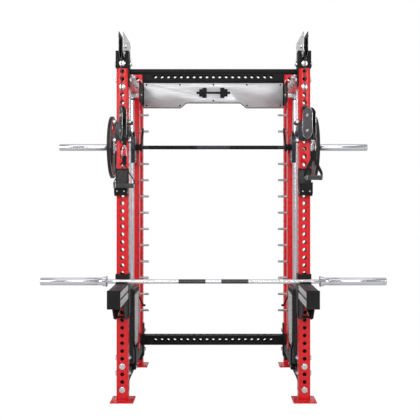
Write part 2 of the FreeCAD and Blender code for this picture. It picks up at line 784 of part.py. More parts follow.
def build_arms():
    beam = box(inner_x, outer_x, arm_front + 12, -6, arm_bottom, arm_top)
    hollow = box(inner_x + 4, outer_x - 4, arm_front + 11, -40, arm_bottom + 4, arm_top - 4)
    face = box(inner_x - 6, outer_x + 6, -6, 0, 540, 823)
    window = [(upright_x, 655), (upright_x + 27, 553), (upright_x - 27, 553)]
    face = cut(face, slab(window, -7, 1, "y"))
    wings = [
        box(inner_x - 6, inner_x, 0, tube + 10, 560, 823),
        box(outer_x, outer_x + 6, 0, tube + 10, 560, 823),
    ]
    keeper = box(inner_x - 6, outer_x + 6, tube + 4, tube + 10, 760, 823)
    gusset = [(-6, arm_bottom), (-232, arm_bottom), (-140, 560), (-60, 540), (-6, 540)]
    ribs = [slab(gusset, x0, x0 + 6, "x") for x0 in (inner_x, outer_x - 6)]
    pin = rod_y(12, upright_x, -6, 50, first_hole_z + 12 * hole_pitch)
    arm = join(cut(beam, hollow), face, *wings, keeper, *ribs, pin)
    save("spotter_arms", pair(arm))
    plate = box(inner_x - 3, inner_x, arm_front + 14, -7, arm_bottom + 6, arm_top - 4)
    groove = box(inner_x - 4, inner_x - 1.5, arm_front + 13, -6, 706, 722)
    save("arm_side_plates", pair(cut(plate, groove)))
    cap = box(inner_x - 1, outer_x + 3, arm_front, arm_front + 12, 658, 769)
    front_edges = [e for e in cap.Edges if abs(e.CenterOfMass.y - arm_front) < 0.1]
    save("spotter_caps", pair(cap.makeFillet(6, front_edges)))


def build_barbell():
    z = arm_top + arm_liner + barbell_r
    y = barbell_y
    shaft = rod_x(barbell_r, -676, 676, y, z)
    necks = pair(rod_x(12.5, 676, barbell_half - 12, y, z))
    save("barbell_shaft", [join(shaft, *necks)])
    flange = rod_x(35, 677, 685, y, z)
    step = rod_x(30, 685, 704, y, z)
    sleeve = rod_x(sleeve_r, 704, barbell_half, y, z)
    bore = rod_x(12.5 + run_gap, 676, barbell_half - 11, y, z)
    solids = [cut(join(flange, step), bore), cut(sleeve, bore)]
    save("right_barbell_sleeve", solids)
    save("left_barbell_sleeve", [mirrored(one) for one in solids])


def build_bolts():
    bolts = []
    for z in (78, 228, 2028):
        bolts.extend(pair(bolt_y(upright_x, z, front_y, -1)))
    bolts.extend(pair(bolt_y(upright_x, 2178, front_y - 5, -1)))
    for z in (78, 228, 2028, 2178):
        bolts.extend(pair(bolt_y(upright_x, z, rear_y + tube, 1)))
    y = rear_y + tube / 2
    for z in (128, 278, 2128):
        bolts.extend(pair(bolt_x(inner_x - plate_t, y, z, -1, 26, 12)))
        bolts.extend(pair(bolt_x(outer_x, y, z, 1, 30, 10)))
    y = front_y + tube / 2
    flange_face = inner_x - plate_t
    for z, face in ((178, inner_x), (278, inner_x), (2078, flange_face), (2178, flange_face)):
        bolts.extend(pair(bolt_x(face, y, z, -1, 26, 15)))
    for z in (178, 278, 2078):
        bolts.extend(pair(bolt_x(outer_x, y, z, 1, 30, 10)))
    bolts.extend(pair(bolt_x(outer_x + 5, y, 2178, 1, 30, 10)))
    bolts.extend(pair(*[axle(y, z, 8) for y, z in (front_pulley, rear_pulley)]))
    save("frame_bolts", bolts)


def main():
    os.makedirs("parts", exist_ok=True)
    build_uprights()
    build_pegs()
    build_side_beams()
    build_cross_beams()
    build_panel()
    build_rods()
    save("bar_stops", pair(bar_stop()))
    build_pulleys()
    build_fixed_cables()
    build_stacks()
    build_smith_bar()
    save("smith_hooks", pair(hook()))
    save("weight_plates", pair(weight_plate()))
    build_trolleys()
    build_cups()
    build_arms()
    build_barbell()
    build_bolts()


main()
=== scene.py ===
from math import acos, atan2, cos, degrees, pi, radians, sin, sqrt
import bmesh
import bpy
from bmesh import ops
from mathutils import Matrix, Vector


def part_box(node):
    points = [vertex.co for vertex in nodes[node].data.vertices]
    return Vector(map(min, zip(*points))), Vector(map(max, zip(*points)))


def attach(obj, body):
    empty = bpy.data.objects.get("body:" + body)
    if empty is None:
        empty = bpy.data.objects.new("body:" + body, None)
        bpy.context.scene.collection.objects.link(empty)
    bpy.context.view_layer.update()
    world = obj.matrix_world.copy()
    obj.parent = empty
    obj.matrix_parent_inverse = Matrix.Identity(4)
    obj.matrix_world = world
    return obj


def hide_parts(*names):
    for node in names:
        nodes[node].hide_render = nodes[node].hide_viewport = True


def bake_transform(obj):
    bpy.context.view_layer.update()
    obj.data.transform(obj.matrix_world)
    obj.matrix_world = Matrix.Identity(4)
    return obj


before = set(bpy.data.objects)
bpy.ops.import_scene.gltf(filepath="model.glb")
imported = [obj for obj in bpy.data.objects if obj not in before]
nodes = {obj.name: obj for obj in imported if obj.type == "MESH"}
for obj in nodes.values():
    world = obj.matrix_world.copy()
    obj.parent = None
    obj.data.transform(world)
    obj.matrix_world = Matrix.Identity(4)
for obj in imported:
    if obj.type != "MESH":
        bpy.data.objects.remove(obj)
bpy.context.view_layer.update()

# Shapes below are drawn in millimetres, with depths measured from the front face of the front
# uprights. depth_shift moves them into the frame, from the trolley's front plate, whose front
# face is 10 mm before that face and whose lugs reach 61 mm before it.
depth_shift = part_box("right_trolley")[0].y * 1000 + 61
to_frame = Matrix.Translation((0, depth_shift / 1000, 0)) @ Matrix.Scale(0.001, 4)
to_depths = to_frame.inverted()

# Measures of the frame that several pieces share
inner_x, upright_x, outer_x = 549, 586.5, 624
front_y, rear_y, rod_y = 37.5, 987.5, 560
tube_depths = {"front_uprights": front_y, "rear_uprights": rear_y}
base_top, roof_low = 190.5, 2065.5
peg_pitch = 121
cable_x = 584
plate_t, tube = 8, 75
front_pulley = (5, 2290)
rear_pulley = (245, 2245)
pulley_r = 50
stack_y = 295
stack_floor = 205
stack_pitch = 25
resting_plates = 14
lifted_plates = 6
swivel_y = -45
wheel_r = 43
upper_wheel_z = 1835
lower_wheel_z = 1738
cable_top_z = 1898
rest_turn = {"left": 18, "right": 30}
stopper_z = 1695
stopper_length = {"left": 52, "right": 18}
strap_drop = {"left": 50, "right": 33}
strap_twist = {"left": (88, 90), "right": (8, 50)}
bar_y, bar_z = 612, 1677
barbell_y, barbell_z = -45, 781
sides = (("left", -1), ("right", 1))


# --- camera, light, floor

def shown(name, data):
    """A new object, put in the scene."""
    made = bpy.data.objects.new(name, data)
    bpy.context.scene.collection.objects.link(made)
    return made


def make_camera():
    data = bpy.data.cameras.new("camera")
    data.sensor_width = 36
    data.lens = 61.3
    data.shift_x, data.shift_y = -0.008095, -0.038095
    data.clip_end = 60
    camera = shown("camera", data)
    camera.location = (0, -4.6 + depth_shift / 1000, 1.338)
    camera.rotation_euler = (radians(90), 0, 0)
    bpy.context.scene.camera = camera


def soft_light(name, place, aim, width, height, power):
    data = bpy.data.lights.new(name, "AREA")
    data.shape = "RECTANGLE"
    data.size, data.size_y, data.energy = width, height, power
    lamp = shown(name, data)
    lamp.location = place
    lamp.rotation_euler = (Vector(aim) - Vector(place)).to_track_quat("-Z", "Y").to_euler()


def map_range(tree, value, *numbers):
    """A value taken from one range to another: from low and high, to low and high."""
    span = tree.nodes.new("ShaderNodeMapRange")
    for socket, number in zip(("From Min", "From Max", "To Min", "To Max"), numbers):
        span.inputs[socket].default_value = number
    tree.links.new(value, span.inputs["Value"])
    return span.outputs["Result"]


def seen_white(tree, lit, white, output):
    """Show the camera the white shader, while the other one lights the machine."""
    rays = tree.nodes.new("ShaderNodeLightPath")
    mix = tree.nodes.new("ShaderNodeMixShader")
    for out, into in (
        (rays.outputs["Is Camera Ray"], mix.inputs[0]), (lit.outputs[0], mix.inputs[1]),
        (white.outputs[0], mix.inputs[2]), (mix.outputs[0], tree.nodes[output].inputs["Surface"]),
    ):
        tree.links.new(out, into)


def studio_world():
    """White seen directly; as a light, bright behind the machine and dim before it, so that
    metal and gloss have something dark to reflect."""
    world = bpy.data.worlds.new("studio")
    world.use_nodes = True
    tree = world.node_tree
    light = tree.nodes["Background"]
    where = tree.nodes.new("ShaderNodeTexCoord")
    parts = tree.nodes.new("ShaderNodeSeparateXYZ")
    tree.links.new(where.outputs["Generated"], parts.inputs["Vector"])
    depth = map_range(tree, parts.outputs["Y"], -0.6, 0.6, 0.36, 0.78)
    tree.links.new(depth, light.inputs["Strength"])
    plain = tree.nodes.new("ShaderNodeBackground")
    for shader in (light, plain):
        shader.inputs["Color"].default_value = (1, 1, 1, 1)
    seen_white(tree, light, plain, "World Output")
    return world


def make_stage():
    scene = bpy.context.scene
    scene.view_settings.view_transform = "Standard"
    scene.world = studio_world()
    bm = bmesh.new()
    ops.create_grid(bm, x_segments=2, y_segments=2, size=14)
    mesh = bpy.data.meshes.new("floor")
    bm.to_mesh(mesh)
    bm.free()
    mesh.materials.append(floor_white())
    shown("floor", mesh)
    soft_light("key", (-2.6, -5.2, 3.4), (0, 0, 1.2), 1.6, 2.6, 74)
    soft_light("fill", (3.0, -4.8, 2.6), (0, 0, 1.1), 1.2, 3.0, 40)
    soft_light("top", (0.0, -1.2, 5.0), (0, 0.2, 1.0), 3.2, 1.4, 26)
    soft_light("panel", (0.0, -6.6, 3.4), (0, 0.6, 2.1), 1.5, 1.6, 60)


def floor_white():
    """White paper when looked at; as a light it is no brighter than lit grey card."""
    card = Finish("floor_white", (0.85, 0.85, 0.85), 0.9)
    seen_white(card.tree, card.shader, card.node("ShaderNodeEmission"), "Material Output")
    return card.mat


# --- materials

class Finish:
    """A material under construction: its nodes, and short ways to add procedural detail."""

    def __init__(self, name, colour, roughness, metallic=0.0, **sockets):
        self.mat = bpy.data.materials.new(name)
        self.mat.use_nodes = True
        self.tree = self.mat.node_tree
        self.shader = self.tree.nodes["Principled BSDF"]
        self.colour = colour
        self.roughness = roughness
        self.shader.inputs["Base Color"].default_value = (*colour, 1)
        self.shader.inputs["Roughness"].default_value = roughness
        self.shader.inputs["Metallic"].default_value = metallic
        for socket, value in sockets.items():
            self.shader.inputs[socket.replace("_", " ")].default_value = value

    def node(self, kind, **values):
        node = self.tree.nodes.new(kind)
        for key, value in values.items():
            setattr(node, key, value)
        return node

    def link(self, out, into):
        self.tree.links.new(out, into)

    def coords(self, stretch=(1, 1, 1), turn=0):
        """Places on the object, stretched, and turned about Z by degrees."""
        where = self.node("ShaderNodeTexCoord")
        mapping = self.node("ShaderNodeMapping")
        mapping.inputs["Scale"].default_value = stretch
        mapping.inputs["Rotation"].default_value = (0, 0, radians(turn))
        self.link(where.outputs["Object"], mapping.inputs["Vector"])
        return mapping.outputs["Vector"]

    def pattern(self, node, where, **sockets):
        """Set a texture's sockets, and give it the places that it is drawn on."""
        for socket, value in sockets.items():
            node.inputs[socket].default_value = value
        self.link(where, node.inputs["Vector"])
        return node.outputs

    def noise(self, scale, stretch=(1, 1, 1), detail=3.0):
        noise = self.node("ShaderNodeTexNoise")
        return self.pattern(noise, self.coords(stretch), Scale=scale, Detail=detail)["Fac"]

    def waves(self, scale, direction, stretch=(1, 1, 1), turn=0, **sockets):
        wave = self.node("ShaderNodeTexWave", wave_type="BANDS", bands_direction=direction)
        return self.pattern(wave, self.coords(stretch, turn), Scale=scale, **sockets)["Fac"]

    def remap(self, value, *numbers):
        return map_range(self.tree, value, *numbers)

    def patches(self, scale, low=0.35, high=0.7):
        """Soft-edged patches, 0 to 1."""
        return self.remap(self.noise(scale), low, high, 0, 1)

    def product(self, first, second):
        times = self.node("ShaderNodeMath", operation="MULTIPLY")
        self.link(first, times.inputs[0])
        if isinstance(second, (int, float)):
            times.inputs[1].default_value = second
        else:
            self.link(second, times.inputs[1])
        return times.outputs["Value"]

    def tint(self, value, other, amount=1.0):
        """Mix the base colour towards another colour by a 0..1 pattern."""
        mix = self.node("ShaderNodeMix", data_type="RGBA")
        current = self.shader.inputs["Base Color"]
        if current.is_linked:
            self.link(current.links[0].from_socket, mix.inputs[6])
        else:
            mix.inputs[6].default_value = (*self.colour, 1)
        mix.inputs[7].default_value = (*other, 1)
        self.link(self.product(value, amount), mix.inputs[0])
        self.link(mix.outputs[2], current)

    def detailed(self, value, spread, height, depth_mm, strength=1.0):
        """Let one pattern vary the roughness and another one the relief."""
        low, high = max(self.roughness - spread, 0.02), min(self.roughness + spread, 1)
        self.link(self.remap(value, 0.3, 0.7, low, high), self.shader.inputs["Roughness"])
        bump = self.node("ShaderNodeBump")
        bump.inputs["Strength"].default_value = strength
        bump.inputs["Distance"].default_value = depth_mm / 1000
        self.link(height, bump.inputs["Height"])
        self.link(bump.outputs["Normal"], self.shader.inputs["Normal"])
        return self.mat


def paint(name, colour, roughness, other, peel=0.06, **sockets):
    """Sprayed and baked paint: slow colour drift, orange peel, and dust in the gloss."""
    made = Finish(name, colour, roughness, **sockets)
    made.tint(made.patches(3.5), other, 0.55)
    return made.detailed(made.noise(28, detail=5), 0.07, made.noise(420, detail=2), peel, 0.6)


def powder(name, colour, roughness, other, grain=0.12, **sockets):
    """Textured powder coat, with the fine pebbling that takes the gloss off black steel."""
    made = Finish(name, colour, roughness, **sockets)
    made.tint(made.patches(6), other, 0.7)
    return made.detailed(made.noise(45, detail=4), 0.1, made.noise(900, detail=2), grain, 0.8)


def metal(name, colour, roughness, other, stretch, scale=60, depth=0.02, **sockets):
    """Bare metal whose grain runs along the axis with the small stretch."""
    made = Finish(name, colour, roughness, 1.0, **sockets)
    grain = made.noise(scale, stretch, 4)
    made.tint(made.remap(grain, 0.35, 0.65, 0, 1), other, 0.8)
    made.tint(made.patches(5, 0.45, 0.75), other, 0.35)
    return made.detailed(grain, 0.09, grain, depth, 0.5)


def knurled(name, colour, other, depth=0.35):
    """Steel with a rolled diamond knurl: two crossing sets of fine grooves."""
    made = Finish(name, colour, 0.34, 1.0)
    diamond = made.product(*(made.waves(150, "X", turn=turn) for turn in (35, -35)))
    made.tint(diamond, other)
    return made.detailed(diamond, 0.1, diamond, depth)


def woven(name, colour, other):
    """Nylon webbing: ribs across it, a fine over-and-under weave, and a dull sheen."""
    made = Finish(name, colour, 0.72, Sheen_Weight=0.06, Sheen_Roughness=0.4, Specular_IOR_Level=0.2)
    weave = made.product(made.waves(190, "DIAGONAL"), made.waves(260, "Z"))
    made.tint(weave, other)
    return made.detailed(made.noise(60), 0.08, weave, 0.4)


def speckled(name, colour, other, roughness=0.55):
    """Moulded plastic with pale flecks in it."""
    made = Finish(name, colour, roughness)
    cells = made.pattern(made.node("ShaderNodeTexVoronoi"), made.coords(), Scale=260)
    flecks = made.remap(cells["Distance"], 0.0, 0.28, 1, 0)
    made.tint(made.product(flecks, made.patches(70, 0.5, 0.56)), other)
    return made.detailed(made.noise(120), 0.08, made.noise(700), 0.08)


def rubber(name, colour, other, roughness=0.68, grain=0.15):
    made = Finish(name, colour, roughness, Specular_IOR_Level=0.25)
    made.tint(made.patches(9), other)
    return made.detailed(made.noise(80, detail=5), 0.1, made.noise(650, detail=3), grain)


def stranded(name, colour, other):
    """Cable sheath over wire strands: a slow spiral that shows through the plastic."""
    made = Finish(name, colour, 0.38, Coat_Weight=0.25)
    twist = made.waves(90, "Z", (40, 40, 1), Distortion=0.6)
    made.tint(twist, other)
    return made.detailed(made.noise(40), 0.08, twist, 0.2)


def make_materials():
    return {
        "red": paint("red_paint", (0.78, 0.012, 0.019), 0.3, (0.66, 0.008, 0.013), 0.05,
                     Coat_Weight=0.12, Coat_Roughness=0.16, Specular_IOR_Level=0.32),
        "black": powder("black_paint", (0.007, 0.007, 0.008), 0.48, (0.012, 0.012, 0.013),
                        Specular_IOR_Level=0.18),
        "slate": powder("slate_paint", (0.018, 0.021, 0.03), 0.36, (0.028, 0.032, 0.044), 0.08),
        "navy": paint("navy_paint", (0.012, 0.014, 0.026), 0.3, (0.02, 0.023, 0.04), 0.05),
        # near-black paint for the inner walls of the uprights: painted shade inside the tubes
        "bare": paint("bare_tube", (0.02, 0.016, 0.016), 0.7, (0.035, 0.028, 0.026)),
        # mid grey for the inner plates of the swivel housings: a painted sheen on semi-gloss black
        "graphite": powder("painted_sheen_grey", (0.085, 0.085, 0.095), 0.34, (0.1, 0.1, 0.11), 0.06),
        "satin": metal("satin_steel", (0.6, 0.6, 0.62), 0.4, (0.5, 0.5, 0.52), (1, 1, 1), 90),
        "zinc": metal("bright_zinc", (0.83, 0.83, 0.82), 0.24, (0.6, 0.61, 0.62), (1, 1, 1), 90),
        "brushed": metal("brushed_steel", (0.66, 0.66, 0.67), 0.46, (0.5, 0.5, 0.52),
                         (0.9, 60, 60), 14, 0.02, Anisotropic=0.5),
        "brushed_y": metal("brushed_sheet", (0.74, 0.74, 0.75), 0.4, (0.56, 0.56, 0.58),
                           (60, 0.9, 60), 14, 0.02, Anisotropic=0.5),
        "cast": metal("cast_aluminium", (0.7, 0.71, 0.73), 0.42, (0.52, 0.53, 0.55),
                      (1, 1, 1), 240, 0.12),
        "chrome": metal("hard_chrome", (0.72, 0.73, 0.77), 0.16, (0.64, 0.65, 0.7),
                        (0.8, 40, 40), 20, 0.008),
        "rod_chrome": metal("rod_chrome", (0.84, 0.84, 0.89), 0.22, (0.74, 0.74, 0.79),
                            (40, 40, 0.8), 20, 0.008),
        "knurl": knurled("knurled_steel", (0.84, 0.84, 0.86), (0.66, 0.66, 0.68), depth=0.1),
        # near-black bands for the smooth part of the loose bar: painted dark reflection
        "band": paint("painted_reflection_band", (0.02, 0.02, 0.022), 0.2, (0.035, 0.035, 0.038), 0.02,
                      Coat_Weight=0.3, Coat_Roughness=0.1),
        "black_knurl": knurled("black_knurl", (0.03, 0.03, 0.033), (0.012, 0.012, 0.013)),
        "nylon": rubber("black_nylon", (0.01, 0.01, 0.011), (0.018, 0.018, 0.02), 0.38, 0.05),
        "liner": speckled("liner_plastic", (0.02, 0.02, 0.022), (0.3, 0.3, 0.31)),
        "rubber": rubber("black_rubber", (0.007, 0.007, 0.008), (0.014, 0.014, 0.015)),
        "grip": rubber("grip_rubber", (0.05, 0.05, 0.053), (0.09, 0.09, 0.095), 0.42, 0.2),
        "sheath": stranded("cable_sheath", (0.03, 0.03, 0.032), (0.012, 0.012, 0.013)),
        "web": woven("webbing", (0.007, 0.007, 0.008), (0.018, 0.018, 0.02)),
        "thread": woven("stitching", (0.1, 0.1, 0.105), (0.06, 0.06, 0.062)),
        "iron": rubber("iron_plate", (0.016, 0.016, 0.018), (0.03, 0.03, 0.033), 0.4, 0.12),
        "mesh": powder("mesh_paint", (0.8, 0.8, 0.82), 0.4, (0.68, 0.68, 0.7), 0.05),
    }


# --- shapes, in millimetres

def outward(part):
    """Turn all faces outward."""
    ops.recalc_face_normals(part, faces=part.faces)
    return part


def moved(part, matrix):
    ops.transform(part, matrix=matrix, verts=part.verts)
    return part


def raised(part, faces, offset):
    """Give flat faces a thickness."""
    grown = ops.extrude_face_region(part, geom=faces)
    far = [v for v in grown["geom"] if isinstance(v, bmesh.types.BMVert)]
    ops.translate(part, verts=far, vec=offset)
    return outward(part)


def sided(sign, a, b):
    """Two distances from the middle on one side, the lower coordinate first."""
    return sorted((sign * a, sign * b))


def soften(bm, width, segments=2, angle=30):
    """Round every edge that is sharper than the angle."""
    edges = [e for e in bm.edges if len(e.link_faces) == 2 and e.calc_face_angle() > radians(angle)]
    if edges:
        ops.bevel(bm, geom=edges, offset=width, offset_type="OFFSET", segments=segments,
                  profile=0.5, affect="EDGES", clamp_overlap=False)


def joined(bm, part, index=0):
    """Add the faces of part to bm with one material index, and free part."""
    mesh = bpy.data.meshes.new("part")
    for face in part.faces:
        face.material_index = face.material_index or index
    part.to_mesh(mesh)
    part.free()
    bm.from_mesh(mesh)
    bpy.data.meshes.remove(mesh)


def extruded(outline, start, end, axis, soft=1.0):
    """A plate from its outline in the other two axes, with rounded edges. axis is x or z."""
    def order(a, b, c):
        return (c, a, b) if axis == "x" else (a, b, c)
    part = bmesh.new()
    face = part.faces.new([part.verts.new(order(a, b, start)) for a, b in outline])
    raised(part, [face], order(0, 0, end - start))
    if soft:
        soften(part, soft)
    return part


def block(x0, x1, y0, y1, z0, z1, soft=1.0):
    return extruded([(x0, y0), (x1, y0), (x1, y1), (x0, y1)], z0, z1, "z", soft)


def axis_frame(axis):
    """Rotation that takes +X to the axis."""
    return {"x": Matrix.Identity(4), "y": Matrix.Rotation(radians(90), 4, "Z"),
            "z": Matrix.Rotation(radians(-90), 4, "Y")}[axis]


def skinned(part, rings, closed):
    """Faces from each ring of points to the next one, and back to the first if closed. A ring
    may be a single point."""
    steps = max(len(ring) for ring in rings)
    for a, b in zip(rings, rings[1:] + rings[:1] if closed else rings[1:]):
        for i in range(steps):
            n = (i + 1) % steps
            corners = (a[i % len(a)], b[i % len(b)], b[n % len(b)], a[n % len(a)])
            corners = tuple(dict.fromkeys(corners))
            if len(corners) > 2:
                part.faces.new(corners)


def turned(profile, centre, axis="x", steps=40, angle=0):
    """A lathe shape from a closed profile of (distance along the axis, radius)."""
    part = bmesh.new()
    rings = []
    for along, radius in profile:
        if radius < 1e-6:
            rings.append([part.verts.new((along, 0, 0))])
            continue
        turns = [2 * pi * step / steps + angle for step in range(steps)]
        rings.append([part.verts.new((along, radius * cos(a), radius * sin(a))) for a in turns])
    skinned(part, rings, profile[0][1] > 1e-6)
    return outward(moved(part, Matrix.Translation(centre) @ axis_frame(axis)))


def spindle(start, end, radius, centre, axis="x", soft=1.0, steps=40):
    """A solid round bar with chamfered ends, from start to end along the axis."""
    profile = [(start, 0), (start, radius - soft), (start + soft, radius),
               (end - soft, radius), (end, radius - soft), (end, 0)]
    return turned(profile, centre, axis, steps)


def ring_of(start, end, inside, outside, centre, axis="x", soft=0.8, steps=40):
    """A ring with chamfered edges."""
    s = soft
    profile = [(start, inside + s), (start, outside - s), (start + s, outside),
               (end - s, outside), (end, outside - s), (end, inside + s),
               (end - s, inside), (start + s, inside)]
    return turned(profile, centre, axis, steps)


def headed(part, x, y, z, axis, toward):
    """Put a head that is drawn along +X on the plane through a point."""
    facing = Matrix.Scale(toward, 4, Vector((1, 0, 0)))
    return outward(moved(part, Matrix.Translation((x, y, z)) @ axis_frame(axis) @ facing))


def hex_bolt(x, y, z, axis, toward, af, height, washer=True):
    """A hexagon head with a chamfered top and a washer."""
    reach = af / sqrt(3)
    base = 2.2 if washer else 0
    head = turned([(base, 0), (base, reach), (height - 1.4, reach), (height, reach * 0.86),
                   (height, reach * 0.42), (height - 0.5, reach * 0.36), (height - 0.5, 0)],
                  (0, 0, 0), "x", 6, pi / 6)
    if washer:
        joined(head, ring_of(0, 2.2, reach * 0.4, reach * 1.0, (0, 0, 0), "x", 0.5, 32))
    return headed(head, x, y, z, axis, toward)


def socket_bolt(x, y, z, axis, toward, radius=6, height=5):
    """A round head with a round recess for its key."""
    key = radius * 0.5
    head = turned([(0, 0), (0, radius), (height - 1, radius), (height, radius - 1), (height, key),
                   (height * 0.35, key), (height * 0.35, 0)], (0, 0, 0), "x", 24)
    return headed(head, x, y, z, axis, toward)


def swept(points, radius, closed=False, steps=12, ripple=0.0):
    """A round bar along points. ripple swells every other ring, as a weld bead does."""
    part = bmesh.new()
    points = [Vector(p) for p in points]
    count = len(points)
    side = None
    rings = []
    for i, point in enumerate(points):
        ahead = points[(i + 1) % count] if closed or i + 1 < count else point
        behind = points[i - 1] if closed or i > 0 else point
        heading = (ahead - behind).normalized()
        if side is None:
            side = heading.orthogonal().normalized()
        side = (side - heading * side.dot(heading)).normalized()
        up = heading.cross(side)
        r = radius * (1 + ripple * (1 if i % 2 else -1))
        turns = [2 * pi * step / steps for step in range(steps)]
        rings.append([part.verts.new(point + (side * cos(a) + up * sin(a)) * r) for a in turns])
    skinned(part, rings, closed)
    if not closed:
        part.faces.new(rings[0])
        part.faces.new(rings[-1])
    return outward(part)


def stepped(points, pitch):
    """The same path with a point about every pitch."""
    dense = [Vector(points[0])]
    for target in points[1:]:
        start, target = dense[-1].copy(), Vector(target)
        count = max(1, round((target - start).length / pitch))
        for step in range(1, count + 1):
            dense.append(start.lerp(target, step / count))
    return dense


def weld(corners, radius=3.2):
    """A bead round a closed outline of corners, riding half into both parts."""
    path = stepped(list(corners) + [corners[0]], 4.0)[:-1]
    return swept(path, radius, True, 8, 0.09)


def arc_points(centre, radius, start, end, count, plane="yz", across=0.0):
    """Points on an arc, in degrees, in the yz or the xz plane."""
    points = []
    for i in range(count + 1):
        a = radians(start + (end - start) * i / count)
        u, v = centre[0] + radius * cos(a), centre[1] + radius * sin(a)
        points.append(Vector((across, u, v) if plane == "yz" else (u, across, v)))
    return points


def from_cad(node, soft=0.8, pick=None):
    """The CAD node's solids with rounded edges, in millimetres."""
    part = bmesh.new()
    part.from_mesh(nodes[node].data)
    moved(part, to_depths)
    ops.remove_doubles(part, verts=part.verts, dist=0.001)
    ops.dissolve_limit(part, angle_limit=radians(0.5), verts=part.verts, edges=part.edges)
    for face in part.faces:
        face.material_index = 0
    for island in islands(part) if pick else ():
        low = Vector(min(v.co[k] for v in island) for k in range(3))
        high = Vector(max(v.co[k] for v in island) for k in range(3))
        index = pick(low, high)
        for vert in island:
            for face in vert.link_faces:
                face.material_index = index
    soften(part, soft)
    return part


def islands(bm):
    """Groups of vertices that are joined by edges."""
    left = set(bm.verts)
    groups = []
    while left:
        group = [left.pop()]
        for vert in group:
            near = {edge.other_vert(vert) for edge in vert.link_edges} & left
            left -= near
            group += near
        groups.append(group)
    return groups


def mirrored(bm):
    """bm and its mirror image on the left side, in one."""
    joined(bm, flip(bm.copy()))
    return bm


def flip(bm):
    ops.scale(bm, vec=(-1, 1, 1), verts=bm.verts)
    ops.reverse_faces(bm, faces=bm.faces)
    return bm


def piece(name, bm, body, paints, slot, node="", rides=True):
    """Turn a shape into a piece of the model that rides on a body, with its paints by index."""
    mesh = bpy.data.meshes.new(name)
    moved(bm, to_frame).to_mesh(mesh)
    bm.free()
    mesh.shade_smooth()
    mesh.set_sharp_from_angle(angle=radians(38))
    for key in paints.split():
        mesh.materials.append(finishes[key])
    made = shown(name, mesh)
    if rides:
        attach(made, body)
    if node:
        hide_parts(node)
    return made


# --- the standing frame

def build_tubes():
    """Drilled tubes and beams: the CAD solids, with rounded edges."""
    red = "front_uprights rear_uprights smith_uprights top_side_beams".split()
    black = ("base_side_beams rear_top_beam rear_low_beam pull_up_bar pulley_brackets "
             "panel_backing").split()
    for node in red + black:
        tubes = from_cad(node, 0.9)
        paints, slot = ("red", "red_paint") if node in red else ("black", "black_paint")
        if node in tube_depths:
            # the inner walls take near-black paint: painted shade for the dim inside of the tubes
            shade_tube_insides(tubes, tube_depths[node])
            paints += " bare"
        piece("steel_" + node, tubes, "frame", paints, slot, node)


def shade_tube_insides(tubes, depth):
    """Give the inner walls of a pair of uprights the second finish, a near-black painted shade for
    the dim inside of the tubes.
    """
    tubes.normal_update()
    for face in tubes.faces:
        centre = face.calc_center_median()
        upright = abs(face.normal.z) < 0.5 and centre.z > 20
        if upright and abs(abs(centre.x) - upright_x) < 35 and abs(centre.y - depth) < 35:
            face.material_index = 1


def square(x0, x1, y0, y1, z, cut=5):
    """Corners of a rectangle in a level plane, with its corners cut."""
    return [(x0 + cut, y0, z), (x1 - cut, y0, z), (x1, y0 + cut, z), (x1, y1 - cut, z),
            (x1 - cut, y1, z), (x0 + cut, y1, z), (x0, y1 - cut, z), (x0, y0 + cut, z)]


def turned_square(x0, x1, z0, z1, y, cut=5):
    return [(a, y, b) for a, b, _ in square(x0, x1, z0, z1, 0, cut)]


def build_welds():
    """Beads where the tubes meet their plates and each other."""
    red = bmesh.new()
    for y0 in (0, 950):
        joined(red, weld(square(inner_x, outer_x, y0, y0 + tube, plate_t)))
    for z in (base_top, roof_low):
        joined(red, weld(square(inner_x, outer_x, 690, 765, z), 2.4))
    for y in (83, 942):
        joined(red, weld(turned_square(inner_x, outer_x, roof_low, roof_low + tube, y), 2.6))
    piece("weld_beads_red", mirrored(red), "frame", "red", "red_paint")
    black = bmesh.new()
    for y in (83, 942):
        joined(black, weld(turned_square(inner_x, outer_x, base_top - tube, base_top, y), 2.6))
    for bottom in (165.5, 2212):
        corners = [(541, b, c) for b, c, _ in square(950, 1025, bottom, bottom + tube, 0)]
        joined(black, weld(corners, 2.6))
    joined(black, swept(arc_points((front_y, 2130), 18, 0, 354, 59, "yz", 541), 2.4, True, 8, 0.1))
    piece("weld_beads_black", mirrored(black), "frame", "black", "black_paint")


def build_bolts():
    """Flange bolts, pulley axles, and the screws of the cheek plates."""
    bolts = bmesh.new()
    for z in (78, 228, 2028, 2178):
        joined(bolts, hex_bolt(upright_x, -5 if z == 2178 else 0, z, "y", -1, 34, 11))
        joined(bolts, hex_bolt(upright_x, 1025, z, "y", 1, 34, 11))
    flange_x = inner_x - plate_t
    for z in (128, 278, 2128):
        joined(bolts, hex_bolt(flange_x, rear_y, z, "x", -1, 26, 12))
        joined(bolts, hex_bolt(outer_x, rear_y, z, "x", 1, 30, 10))
    for z, inner, outer in ((178, inner_x, outer_x), (278, inner_x, outer_x),
                            (2078, flange_x, outer_x), (2178, flange_x, outer_x + 5)):
        joined(bolts, hex_bolt(inner, front_y, z, "x", -1, 26, 9))
        joined(bolts, spindle(inner - 15, inner - 8, 8, (0, front_y, z), "x", 1.2, 24))
        joined(bolts, hex_bolt(outer, front_y, z, "x", 1, 30, 10))
    outer, inner = cable_x + 15.25, cable_x - 15.25
    for y, z in (front_pulley, rear_pulley):
        joined(bolts, spindle(inner - 10, outer, 8, (0, y, z), "x", 0.5))
        joined(bolts, hex_bolt(outer, y, z, "x", 1, 24, 8))
        joined(bolts, hex_bolt(inner, y, z, "x", -1, 24, 10))
    for y, z in ((-62, 2343), (-20, 2240), (120, 2338), (278, 2338), (278, 2160), (112, 2160)):
        for x, toward in ((outer, 1), (inner, -1)):
            joined(bolts, socket_bolt(x, y, z, "x", toward, 7, 5))
    piece("frame_fasteners", mirrored(bolts), "frame", "zinc", "bright_zinc", "frame_bolts")


